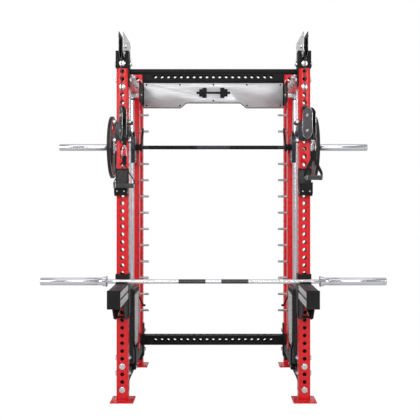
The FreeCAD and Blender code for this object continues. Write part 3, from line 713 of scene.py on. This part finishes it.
def build_pegs():
    """Catch pegs on the inner uprights, each with a round foot."""
    pegs = bmesh.new()
    profile = [(0, 0), (0, 13), (-5, 13), (-6, 12), (-6, 8.5), (-66, 8.5), (-68, 6.8), (-68, 0)]
    for step in range(13):
        joined(pegs, turned(profile, (inner_x, 727.5, 1925 - step * peg_pitch), "x", 32))
    piece("catch_peg_rods", mirrored(pegs), "frame", "satin", "hard_chrome", "catch_pegs")


def build_panel():
    """The brushed sheet with its cut-out, and its screws."""
    piece("panel_sheet", from_cad("name_panel", 0.5), "frame", "brushed", "brushed_steel",
          "name_panel")
    screws = bmesh.new()
    for x in (-519, -259, 0, 259, 519):
        for z in (2184, 2023 if x else 2062):
            joined(screws, socket_bolt(x, 944, z, "y", -1, 6.5, 3.5))
    piece("panel_screws", screws, "frame", "black", "black_paint")


def build_rods():
    """Guide rods of the bar and the stacks, and the clamps at the tops of the bar's rods."""
    rods = spindle(base_top, roof_low, 15, (upright_x, rod_y, 0), "z")
    for y in (210, 380):
        joined(rods, spindle(base_top, roof_low, 10, (cable_x, y, 0), "z"))
    piece("chrome_guide_rods", mirrored(rods), "frame", "rod_chrome", "hard_chrome", "guide_rods")
    clamps = from_cad("rod_clamps", 1.0)
    for _, sign in sides:
        for y, z in ((538, 2150), (582, 2150), (rod_y, 2052)):
            joined(clamps, socket_bolt(sign * (inner_x - 28), y, z, "x", -sign, 7, 6), 1)
        joined(clamps, ring_of(2016, 2025.4, 15.2, 24, (sign * upright_x, rod_y, 0), "z"), 2)
    piece("rod_end_clamps", clamps, "frame", "cast zinc nylon", "cast_aluminium", "rod_clamps")


def build_bar_stops():
    """Stops low on the guide rods, with rubber buffers, bands and lever ends."""
    stops = from_cad("bar_stops", 1.2)
    for _, sign in sides:
        centre = (sign * upright_x, rod_y, 0)
        joined(stops, ring_of(590, 592.5, 15.3, 23, centre, "z"), 1)
        for z in (482, 520):
            joined(stops, ring_of(z, z + 4, 24.4, 26.4, centre, "z", 0.5), 1)
        joined(stops, spindle(sign * 500 - 12, sign * 500 + 12, 8, (0, 545, 538), "x", 3, 24), 1)
    piece("rod_bar_stops", stops, "frame", "black rubber", "black_paint", "bar_stops")


# --- cable columns

def cable_wheel(centre, rim, pitch, width, bore, hub):
    """A moulded wheel: groove, thin web with a rib round it, and a steel bearing."""
    half = width / 2
    floor = pitch - 3.3
    web = width * 0.16
    mid = (hub + floor) / 2
    right = [
        (3.6, floor), (half - 2.4, rim), (half - 0.8, rim), (half, rim - 0.8), (half, floor - 5),
        (web, floor - 7), (web, mid + 2), (web + 1, mid + 1), (web + 1, mid - 1), (web, mid - 2),
        (web, hub + 3), (half - 1, hub), (half - 1, bore + 3),
    ]
    profile = [(-a, r) for a, r in reversed(right)] + [(0, floor - 0.9)] + right
    wheel = turned(profile, centre, "x", 56)
    joined(wheel, ring_of(-half + 0.6, half - 0.6, bore, bore + 3, centre, "x", 0.4, 40), 1)
    return wheel


def build_pulleys():
    for side, sign in sides:
        for place, (y, z) in (("_front", front_pulley), ("_rear", rear_pulley)):
            wheel = cable_wheel((sign * cable_x, y, z), 56, pulley_r, 22, 8.3, 16)
            piece(side + place + "_wheel", wheel, side + place + "_pulley", "nylon zinc",
                  "black_nylon", side + place + "_pulley")
    # The outer cheek plates get black paint: painted shade on what is the same brushed steel as the
    # inner plates.
    cheeks = from_cad("cheek_plates", 0.6, lambda low, high: int(abs(low.x + high.x) > 2 * cable_x))
    piece("brushed_cheek_plates", cheeks, "frame", "brushed_y black", "brushed_steel",
          "cheek_plates")


def build_cables():
    fy, fz = front_pulley
    ry, rz = rear_pulley
    lean = degrees(atan2(rz - fz, ry - fy))
    top = stack_floor + (resting_plates + lifted_plates) * stack_pitch + 36
    for side, sign in sides:
        x = sign * cable_x
        path = arc_points(front_pulley, pulley_r, 180, 90 + lean, 24, "yz", x)
        path += arc_points(rear_pulley, pulley_r, 90 + lean, 0, 24, "yz", x)
        piece(side + "_cable_over", swept(path, 3, False, 14), "frame", "sheath", "cable_sheath",
              "upper_cables" if side == "right" else "")
        for name, y, high, low, node, body in (
            ("_cable_down", fy - pulley_r, fz, cable_top_z, "_front_cable", "_trolley"),
            ("_cable_back", stack_y, rz, top, "_rear_cable", "_stack"),
        ):
            run = swept(stepped([(x, y, high), (x, y, low)], 12), 3, False, 14)
            run = piece(side + name, run, "frame", "sheath", "cable_sheath", side + node, False)
            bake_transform(run)


def stack_plate(z):
    """One cast weight of the stack: soft corners, a ring round the hole for the pin with a black
    disc in it as painted shade of the hole, and bushes.
    """
    x = cable_x - 52
    part = block(x, cable_x + 52, stack_y - 130, stack_y + 130, z, z + stack_pitch - 0.4, 2.2)
    hole = (x, stack_y, z + stack_pitch / 2)
    joined(part, ring_of(-0.6, 2, 5, 8.5, hole, "x", 0.4, 24), 1)
    # a black disc in the mouth of the pin hole: painted shade in place of the hole's depth
    joined(part, turned([(-0.3, 0), (-0.3, 5.2), (1, 5.2), (1, 0)], hole, "x", 24), 2)
    for y in (stack_y - 85, stack_y + 85):
        bush = ring_of(z + 20, z + stack_pitch - 0.2, 10.6, 15, (cable_x, y, 0), "z", 0.5, 28)
        joined(part, bush, 3)
    return part


def build_stacks():
    """Resting plates on rubber pads, and the lifted plates with their stem and selector pin."""
    resting = bmesh.new()
    for step in range(resting_plates):
        joined(resting, stack_plate(stack_floor + step * stack_pitch))
    paints = "iron zinc rubber nylon"
    piece("resting_stack_plates", mirrored(resting), "frame", paints, "iron_plate", "stack_plates")
    pads = bmesh.new()
    for y in (stack_y - 85, stack_y + 85):
        for z in (base_top, base_top + 7.25):
            joined(pads, ring_of(z, z + 7.25, 10.4, 24, (cable_x, y, 0), "z", 2.2))
    piece("rubber_stack_pads", mirrored(pads), "frame", "rubber", "black_rubber", "stack_bumpers")
    split = stack_floor + resting_plates * stack_pitch
    top = split + lifted_plates * stack_pitch
    boss = [(0, 0), (0, 14), (6, 14), (7, 12), (28, 12), (36, 6), (36, 0)]
    knob = [(-4, 0), (-4, 7), (-3, 9), (-1.4, 9), (-0.4, 6), (20, 4.5), (20, 0)]
    for side, sign in sides:
        head = bmesh.new()
        for step in range(lifted_plates):
            joined(head, stack_plate(split + step * stack_pitch))
        stem = spindle(stack_floor + 15, top + 2, 9.5, (cable_x, stack_y, 0), "z", 1.5)
        joined(head, stem, 1)
        joined(head, turned(boss, (cable_x, stack_y, top), "z", 32), 1)
        joined(head, turned(knob, (cable_x - 52, stack_y, split + stack_pitch / 2), "x", 28), 4)
        if sign < 0:
            flip(head)
        piece(side + "_lifted_stack", head, side + "_stack", paints + " red", "iron_plate",
              side + "_stack_head")


def inside(outline, u, v):
    """Whether a point lies in a polygon."""
    hit = False
    for i in range(len(outline)):
        (a, b), (c, d) = outline[i - 1], outline[i]
        if (b > v) != (d > v) and u < (c - a) * (v - b) / (d - b) + a:
            hit = not hit
    return hit


def build_guards():
    """Expanded-metal sheets: diamonds inside a plain border, with the mounting tab."""
    x = cable_x - 60
    outline = [(150, 687), (440, 687), (440, 460), (375, 294), (215, 294), (150, 345)]
    half_y, half_z, strand, border = 24, 8, 0.62, 26
    flat = bmesh.new()
    for i in range(40):
        for j in range(i % 2, 60, 2):
            y, z = 140 + i * half_y, 285 + j * half_z
            corners = [(y - half_y, z), (y, z - half_z), (y + half_y, z), (y, z + half_z)]
            if all(inside(outline, *corner) for corner in corners):
                skinned(flat, [[flat.verts.new((x, y + (a - y) * size, z + (b - z) * size))
                                for a, b in corners] for size in (strand, 1)], False)
    ops.remove_doubles(flat, verts=flat.verts, dist=0.01)
    guard = raised(flat, list(flat.faces), (1, 0, 0))
    middle = Vector(sum(p[k] for p in outline) / len(outline) for k in (0, 1))
    plain = bmesh.new()
    inner = []
    for point in outline:
        away = Vector(point) - middle
        inner.append(plain.verts.new((x, *(middle + away * (1 - border / away.length)))))
    skinned(plain, [inner, [plain.verts.new((x, *p)) for p in outline]], False)
    joined(guard, raised(plain, list(plain.faces), (3, 0, 0)), 1)
    joined(guard, block(x, x + 3, 230, 360, 150.5, 312, 0.8), 1)
    joined(guard, block(x + 3, inner_x, 230, 360, 150.5, 186.5, 0.8), 1)
    for y in (250, 340):
        joined(guard, socket_bolt(x, y, 168, "x", -1, 7, 4), 2)
    piece("mesh_stack_guards", mirrored(guard), "frame", "mesh black zinc", "black_paint",
          "stack_guards")


# --- trolleys and handles

def swivel_piece(side, name, bm, body, *rest):
    """A piece of the swivel, drawn on the right with its arm forward, put at its rest turn."""
    sign = dict(sides)[side]
    if sign < 0:
        flip(bm)
    pivot = Vector((sign * cable_x, swivel_y, 0))
    turn = Matrix.Rotation(radians(rest_turn[side]), 4, "Z")
    moved(bm, Matrix.Translation(pivot) @ turn @ Matrix.Translation(-pivot))
    return piece(side + name, bm, body, *rest)


def stadium(low, high, radius):
    """Outline of two half circles joined by straight sides, as (y, z) around the swivel arm."""
    u = swivel_y - wheel_r
    points = arc_points((u, high), radius, 0, 180, 20) + arc_points((u, low), radius, 180, 360, 20)
    return [(p.y, p.z) for p in points]


def build_swivel(side):
    """The housing with its two wheels, and the cable that runs through it."""
    u = swivel_y - wheel_r
    low, high = lower_wheel_z, upper_wheel_z
    housing = bmesh.new()
    outline = stadium(low, high, 50)
    # The inner side plate, index 4, is painted mid grey: a painted sheen, as both side plates are
    # the same semi-gloss black.
    for way, x, index in ((-1, cable_x - 14, 4), (1, cable_x + 10, 0)):
        joined(housing, extruded(outline, x, x + 4, "x"), index)
        for centre in (low, high):
            joined(housing, hex_bolt(cable_x + way * 14, u, centre, "x", way, 18, 6), 1)
    for x in (cable_x - 14, cable_x + 14):
        joined(housing, swept([(x, *p) for p in outline], 1.1, True, 6), 2)
    pivot = (cable_x, swivel_y, 0)
    for z0, z1, out in ((1686, 1694, 1675), (cable_top_z - 19, cable_top_z - 11, cable_top_z)):
        joined(housing, block(cable_x - 14, cable_x + 14, swivel_y - 16, swivel_y + 12, z0, z1))
        joined(housing, ring_of(min(z0, out), max(z1, out), 3.2, 9, pivot, "z", 0.6), 1)
    for centre in (low, high):
        joined(housing, spindle(cable_x - 14, cable_x + 14, 6, (0, u, centre), "x", 0.5, 28), 1)
    leave = degrees(acos(2 * wheel_r / (high - low))) - 90
    path = [Vector((cable_x, swivel_y, z)) for z in (cable_top_z + 6, high + 8)]
    path += arc_points((u, high), wheel_r, 0, leave, 14, "yz", cable_x)
    path += arc_points((u, low), wheel_r, leave + 180, 180, 14, "yz", cable_x)
    joined(housing, swept(path, 3, False, 14), 3)
    swivel_piece(side, "_swivel_housing", housing, side + "_swivel",
                 "black zinc zinc sheath graphite", "black_paint", side + "_swivel_frame")
    for place, z in (("_upper", high), ("_lower", low)):
        wheel = cable_wheel((cable_x, u, z), 47, wheel_r, 16, 6.3, 12)
        swivel_piece(side, place + "_sheave", wheel, side + place + "_wheel", "nylon zinc",
                     "black_nylon", side + place + "_wheel")


def build_cable_end(side):
    """Stopper ball, ferrule and carabiner under the swivel, and the cable that pays out."""
    u = swivel_y - 2 * wheel_r
    centre, spine = (cable_x, u, 0), (cable_x + 14, u, 0)
    top = stopper_z
    low = top - stopper_length[side]
    ring_top, ring_low = low - 6, low - 78
    end = turned([(low, 0), (low, 8), (low + 2, 11), (low + 6, 13), (top - 8, 13), (top - 3, 10.5),
                  (top, 6), (top, 0)], centre, "z", 32)
    joined(end, spindle(low - 5, low + 1, 5.5, centre, "z", 0.8, 20), 1)
    eye = arc_points((u, ring_top - 2), 6.5, 0, 350, 35, "yz", cable_x)
    joined(end, swept(eye, 2.0, True, 10), 1)
    joined(end, carabiner(u, ring_top, ring_low), 2)
    joined(end, ring_of(ring_low + 22, ring_low + 42, 2.8, 5.2, spine, "z", 0.8, 20), 1)
    for step in range(5):
        z = ring_low + 24 + step * 3.4
        joined(end, ring_of(z, z + 1.5, 4.8, 5.8, spine, "z", 0.4, 20), 1)
    swivel_piece(side, "_snap_hook", end, side + "_cable_end", "rubber zinc chrome", "bright_zinc",
                 side + "_carabiner")
    tail = swept(stepped([(cable_x, u, lower_wheel_z), (cable_x, u, top - 4)], 2.0), 3, False, 14)
    tail = swivel_piece(side, "_cable_paid_out", tail, "frame", "sheath", "cable_sheath", "", False)
    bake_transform(tail)


def carabiner(u, top, low):
    """A closed link of round wire, a little wider below."""
    wire, a, b = 3, 12, 15
    path = arc_points((cable_x, top - wire - a), a, 0, 180, 14, "xz", u)
    path += arc_points((cable_x, low + wire + b), b, 180, 360, 18, "xz", u)
    return swept(path, wire, True, 12)


def build_handle(side):
    """Webbing from the carabiner, forked to the ends of a turning rubber grip."""
    u = swivel_y - 2 * wheel_r
    strap_top = stopper_z - stopper_length[side] - 75
    strap_low = strap_top - strap_drop[side]
    grip_z = strap_low - 128
    half = 12.5
    drop = strap_low - strap_top
    loop = [(2.1, drop), (2.6, -14), (7.6, -3), (7.2, 2), (4, 6.2), (0, 7.6), (-4, 6.2),
            (-7.2, 2), (-7.6, -3), (-2.6, -14), (-2.1, drop)]
    loop = [Vector((cable_x, u + y, strap_top + 2 + z)) for y, z in loop]
    web = strap(loop, Vector((1, 0, 0)), half, 1.9)
    for z in (strap_low + 6, strap_low + 15):
        for y in (u - 4.3, u + 4.3):
            joined(web, stitched((cable_x, y, z), 20), 1)
    fork = [(3, strap_low + 4), (11, strap_low - 14), (38, strap_low - 58), (60, grip_z + 34),
            (67, grip_z + 14), (67.5, grip_z), (66.5, grip_z - 15)]
    axis = (0, u, grip_z)
    for way in (-1, 1):
        arm = smooth_path([Vector((cable_x + way * x, u, z)) for x, z in fork], 5)
        joined(web, turning_band(arm, half, 1.5, *strap_twist[side]))
        for t in (0.25, 0.75):
            near = arm[int(len(arm) * t)]
            joined(web, stitched((near.x, u - half - 0.2, near.z), 3), 1)
        end = cable_x + way * 68.6
        joined(web, turned([(end, 0), (end, 8), (end - way * 2, 9), (end - way * 3, 9),
                            (end - way * 3, 0)], axis, "x", 24), 2)
    joined(web, spindle(cable_x - 66, cable_x + 66, 5.8, axis, "x", 0.5, 20), 2)
    swivel_piece(side, "_webbing_handle", web, side + "_handle_strap", "web thread zinc",
                 "webbing", side + "_handle_strap")
    profile = [(-64, 6.4), (-64, 14.5), (-62.5, 16), (-57, 16), (-56, 14.4)]
    for x in range(-48, 49, 12):
        profile += [(x - 4.5, 14.6), (x - 3, 15.3), (x + 3, 15.3), (x + 4.5, 14.6)]
    profile += [(-x, r) for x, r in reversed(profile[:5])]
    centre = (cable_x, u, grip_z)
    grip = turned(profile, centre, "x", 40)
    for way in (-1, 1):
        joined(grip, ring_of(*sided(way, 57.5, 62), 15.6, 16.4, centre, "x", 0.3), 1)
    swivel_piece(side, "_rubber_grip", grip, side + "_handle_grip", "grip zinc", "grip_rubber",
                 side + "_handle_grip")


def smooth_path(points, steps):
    """A Catmull-Rom curve through points."""
    path = []
    for i in range(len(points) - 1):
        p0 = points[max(i - 1, 0)]
        p1, p2 = points[i], points[i + 1]
        p3 = points[min(i + 2, len(points) - 1)]
        for step in range(steps):
            t = step / steps
            path.append(0.5 * (2 * p1 + (p2 - p0) * t + (2 * p0 - 5 * p1 + 4 * p2 - p3) * t * t
                               + (3 * p1 - p0 - 3 * p2 + p3) * t ** 3))
    path.append(points[-1])
    return path


def turning_band(path, half, thick, start, finish):
    """A flat strap in a plane of constant y, turned about its own run by a start and a finish
    angle in degrees: 0 faces out of the plane and 90 lies across it."""
    turns = []
    for i in range(len(path)):
        t = min(max((i / (len(path) - 1) - 0.4) / 0.6, 0), 1)
        turns.append(radians(start + (finish - start) * t * t * (3 - 2 * t)))
    return strap(path, Vector((0, 1, 0)), half, thick, turns)


def strap(path, across, half, thick, turns=None):
    """A flat strap along a path, lying along the direction across it."""
    part = bmesh.new()
    rings = []
    for i, point in enumerate(path):
        heading = (path[min(i + 1, len(path) - 1)] - path[max(i - 1, 0)]).normalized()
        flat = across
        if turns:
            flat = Matrix.Rotation(radians(90) - turns[i], 3, heading) @ across
        out = heading.cross(flat).normalized() * thick / 2
        wide = flat * half
        edge = flat * (half + 0.5)
        rings.append([part.verts.new(point + p) for p in (
            -wide - out, wide - out, edge, wide + out, -wide + out, -edge)])
    skinned(part, rings, False)
    part.faces.new(rings[0])
    part.faces.new(rings[-1])
    return outward(part)


def stitched(centre, width):
    """A short row of thread across the webbing."""
    x, y, z = centre
    row_of = bmesh.new()
    count = max(1, round(width / 3.4))
    for step in range(count):
        at = x + (step - (count - 1) / 2) * 3.4
        joined(row_of, block(at - 1.1, at + 1.1, y - 0.5, y + 0.5, z - 0.5, z + 0.5, 0.2))
    return row_of


def build_trolley(side, sign):
    """The carrier: plates with lobes, rollers between them, bolt heads, and its pull pin."""
    def finish_of(low, high):
        if max(high.x - low.x, high.z - low.z) > 25:
            return 0
        return 1 if high.y - low.y > 40 else 2
    body = from_cad(side + "_trolley", 1.0, finish_of)
    for sx in (-1, 1):
        for sz in (-1, 1):
            x, z = sign * (upright_x + sx * 48.5), 1743 + sz * 59
            joined(body, hex_bolt(x, -10, z, "y", -1, 19, 8), 2)
            joined(body, hex_bolt(x, 85, z, "y", 1, 19, 8), 2)
            joined(body, ring_of(10, 65, 9.8, 12.4, (x, 0, z), "y", 1.5), 1)
    piece(side + "_trolley_carrier", body, side + "_trolley", "slate nylon zinc", "slate_paint",
          side + "_trolley")
    y, z = front_y, 1728
    profile = [(7, 0), (7, 10), (5, 12), (-5, 12), (-5, 6), (-25, 6), (-25, 0)]
    pin = turned(profile, (inner_x, y, z), "x", 36)
    knob = [(-25, 0), (-25, 9), (-26, 10), (-28, 10.5), (-30, 15), (-31, 16), (-39, 16), (-41, 13),
            (-41, 0)]
    joined(pin, turned(knob, (inner_x, y, z), "x", 36), 1)
    for step in range(12):
        a = 2 * pi * step / 12
        centre = (inner_x, y + 15.4 * cos(a), z + 15.4 * sin(a))
        joined(pin, spindle(-38.5, -31, 1.5, centre, "x", 0.6, 8), 1)
    if sign < 0:
        flip(pin)
    piece(side + "_pull_pin", pin, side + "_trolley_pin", "chrome nylon", "bright_zinc",
          side + "_trolley_pin")


# --- guided bar and barbell

def build_guided_bar():
    centre = (0, bar_y, bar_z)
    bar = spindle(-541, 541, 14, centre, "x", 0.5)
    for _, sign in sides:
        joined(bar, spindle(*sided(sign, 541, 625), 15, centre, "x", 0.5), 1)
        joined(bar, ring_of(*sided(sign, 541, 562.6), 14.8, 23.5, centre, "x", 1.2), 2)
        joined(bar, ring_of(*sided(sign, 120, 470), 13.5, 14.3, centre, "x", 0.3), 3)
    piece("guided_bar_shaft", bar, "smith_bar", "navy chrome black black_knurl", "black_paint",
          "smith_bar")
    sleeves = sleeve_shape(625, 1120, centre)
    joined(sleeves, ring_of(612, 625, 15, 34, centre, "x", 2.0, 48))
    piece("guided_bar_sleeves", mirrored(sleeves), "smith_bar", "chrome black", "hard_chrome",
          "bar_sleeves")
    hooks = from_cad("smith_hooks", 1.2)
    for _, sign in sides:
        joined(hooks, ring_of(*sided(sign, 530, 538), 14.1, 25, centre, "x", 1.5))
    piece("guided_bar_hooks", hooks, "smith_bar", "black zinc", "black_paint", "smith_hooks")


def sleeve_shape(start, end, centre, bore=0):
    """A plate sleeve: fine rings near the collar, a snap-ring groove and chamfer at its end."""
    profile = [(start, bore), (start, 24), (start + 1, 25), (start + 30, 25), (start + 31, 24.4),
               (start + 32, 25), (end - 26, 25), (end - 25, 24.2), (end - 23, 24.2),
               (end - 22, 25), (end - 3, 25), (end, 22), (end, 17)]
    if bore:
        profile.append((end - 2, bore))
    else:
        profile += [(end - 2, 16), (end - 2, 6), (end - 0.6, 5), (end - 0.6, 0)]
    return turned(profile, centre, "x", 56)


def build_weight_plates():
    """Cast plates with steel hubs, bright metal rings near their edge as painted sheen, and a red
    edge round the top grip window.
    """
    centre = (0, bar_y, bar_z)
    window = [(90 - 27 + 54 * i / 12, 172) for i in range(13)]
    window += [(90 + 27 - 54 * i / 12, 112) for i in range(13)]
    window.append(window[0])
    path = [(bar_y + r * cos(radians(a)), bar_z + r * sin(radians(a))) for a, r in window]
    plates = from_cad("weight_plates", 1.6)
    for _, sign in sides:
        for face, way in ((725, -1), (745, 1)):
            inner = face - 3 * way
            hub, rim = sided(sign, inner, face + 0.6 * way), sided(sign, inner, face + 0.4 * way)
            joined(plates, ring_of(*hub, 25.2, 44, centre, "x", 0.5, 56), 1)
            # a bright metal ring near the edge of each face: painted sheen on the plate
            joined(plates, ring_of(*rim, 203, 209, centre, "x", 0.4, 96), 2)
        for x in (729, 741):
            edge = stepped([(sign * x, *p) for p in path], 6)[:-1]
            joined(plates, swept(edge, 3.2, True, 8), 3)
    piece("grip_weight_plates", plates, "smith_bar", "iron zinc cast red", "iron_plate",
          "weight_plates")


def build_carriages():
    cars = from_cad("carriages", 1.4)
    for _, sign in sides:
        centre = (sign * upright_x, rod_y, 0)
        for low, high in ((1760, 1766), (1561, 1564)):
            joined(cars, ring_of(low, high, 15.3, 24, centre, "z", 1.0), 1)
        for z in (1590, 1632, 1722, 1745):
            for y in (548, 634):
                joined(cars, socket_bolt(sign * 564, y, z, "x", -sign, 5.5, 4), 1)
        joined(cars, block(*sided(sign, 609, 611.4), 537, 646, 1572, 1752), 2)
    piece("linear_carriages", cars, "carriage", "navy zinc slate", "slate_paint", "carriages")


def build_barbell():
    centre = (0, barbell_y, barbell_z)
    shaft = spindle(-676, 676, 14, centre)
    for _, sign in sides:
        joined(shaft, spindle(*sided(sign, 676, 1088), 12.5, centre, "x", 0.6))
        # index 1, the band finish, is near black: a painted dark reflection on the smooth part of
        # the bar
        for near, far, inside_r, outside_r, soft, index in (
            (50, 222, 13.4, 14.25, 0.2, 1), (255, 640, 13.6, 14.15, 0.1, 2),
            (416, 421, 13.4, 14.3, 0.2, 0),
        ):
            band = ring_of(*sided(sign, near, far), inside_r, outside_r, centre, "x", soft)
            joined(shaft, band, index)
    piece("loose_bar_shaft", shaft, "barbell", "chrome band knurl", "hard_chrome", "barbell_shaft")
    for side, sign in sides:
        sleeve = sleeve_shape(704, 1100, centre, 12.8)
        joined(sleeve, ring_of(677, 685, 12.8, 35, centre, "x", 1.5, 56))
        joined(sleeve, ring_of(685, 704, 12.8, 30, centre, "x", 1.5, 56))
        joined(sleeve, spindle(1088.4, 1097.5, 17.5, centre), 1)
        joined(sleeve, hex_bolt(1097.5, barbell_y, barbell_z, "x", 1, 10, 2, False), 2)
        if sign < 0:
            flip(sleeve)
        piece(side + "_loose_bar_sleeve", sleeve, side + "_sleeve", "chrome nylon zinc",
              "hard_chrome", side + "_barbell_sleeve")


# --- rack attachments

def build_cups():
    """J-cups with their screws, and the plastic liners of cups and arms with their plugs."""
    cups = from_cad("j_cups", 1.2)
    liners = from_cad("plastic_liners", 1.0)
    plug = [(0, 0), (0, 9), (1.2, 8), (1.2, 4), (0.4, 3.4), (0.4, 0)]
    for _, sign in sides:
        x = sign * upright_x
        for z in (1478, 1440):
            joined(cups, socket_bolt(x, -10, z, "y", -1, 8, 3.5), 1)
        for way in (-1, 1):
            joined(cups, socket_bolt(x + way * 22, -86, 1356, "y", -1, 5, 3), 1)
            for y, z in ((-18, 1360), (-66, 1346)):
                joined(cups, socket_bolt(x + way * 41.5, y, z, "x", way, 5.5, 2.5), 1)
        for y in (-360, -250, -140, -40):
            joined(liners, turned(plug, (x, y, 766.2), "z", 24), 1)
    piece("steel_cups", cups, "frame", "black zinc", "black_paint", "j_cups")
    piece("moulded_liners", liners, "frame", "liner nylon", "liner_plastic", "plastic_liners")


def build_arms():
    """Spotter arms with weld beads and a V of zinc strips as painted edge highlights, their brushed
    side plates with a black stripe as painted shade of a groove, and caps.
    """
    arms = from_cad("spotter_arms", 1.2)
    plates = from_cad("arm_side_plates", 0.6)
    for _, sign in sides:
        # Two bright zinc strips in a V on the bracket face: painted highlights on the edges of the
        # gusset plates.
        for way in (-1, 1):
            edge_highlight = [(sign * upright_x, -7, 648), (sign * upright_x + way * 26, -7, 556)]
            joined(arms, swept(stepped(edge_highlight, 12), 2.4, False, 8), 1)
        for x in (sign * (inner_x + 3), sign * (outer_x - 3)):
            joined(arms, swept(stepped([(x, -8, 544), (x, -8, 655)], 4), 3, False, 8, 0.1))
        # A thin black strip along each side plate: painted shade standing in for a groove.
        groove_shade = sided(sign, inner_x - 1.7, inner_x - 1.2)
        joined(plates, block(*groove_shade, -385, -8, 707, 721, 0.1), 1)
        for y in (-360, -260, -160, -60):
            for z in (684, 742):
                joined(plates, socket_bolt(sign * (inner_x - 3), y, z, "x", -sign, 4.5, 1.5), 2)
    piece("steel_spotter_arms", arms, "frame", "black zinc", "black_paint", "spotter_arms")
    piece("brushed_arm_plates", plates, "frame", "brushed_y black zinc", "brushed_steel",
          "arm_side_plates")
    piece("moulded_arm_caps", from_cad("spotter_caps", 1.0), "frame", "rubber", "black_nylon",
          "spotter_caps")


# --- the whole machine

make_camera()
make_stage()
finishes = make_materials()
build_tubes()
build_welds()
build_bolts()
build_pegs()
build_panel()
build_rods()
build_bar_stops()
build_pulleys()
build_cables()
build_stacks()
build_guards()
for side, sign in sides:
    build_swivel(side)
    build_cable_end(side)
    build_handle(side)
    build_trolley(side, sign)
build_guided_bar()
build_weight_plates()
build_carriages()
build_barbell()
build_cups()
build_arms()
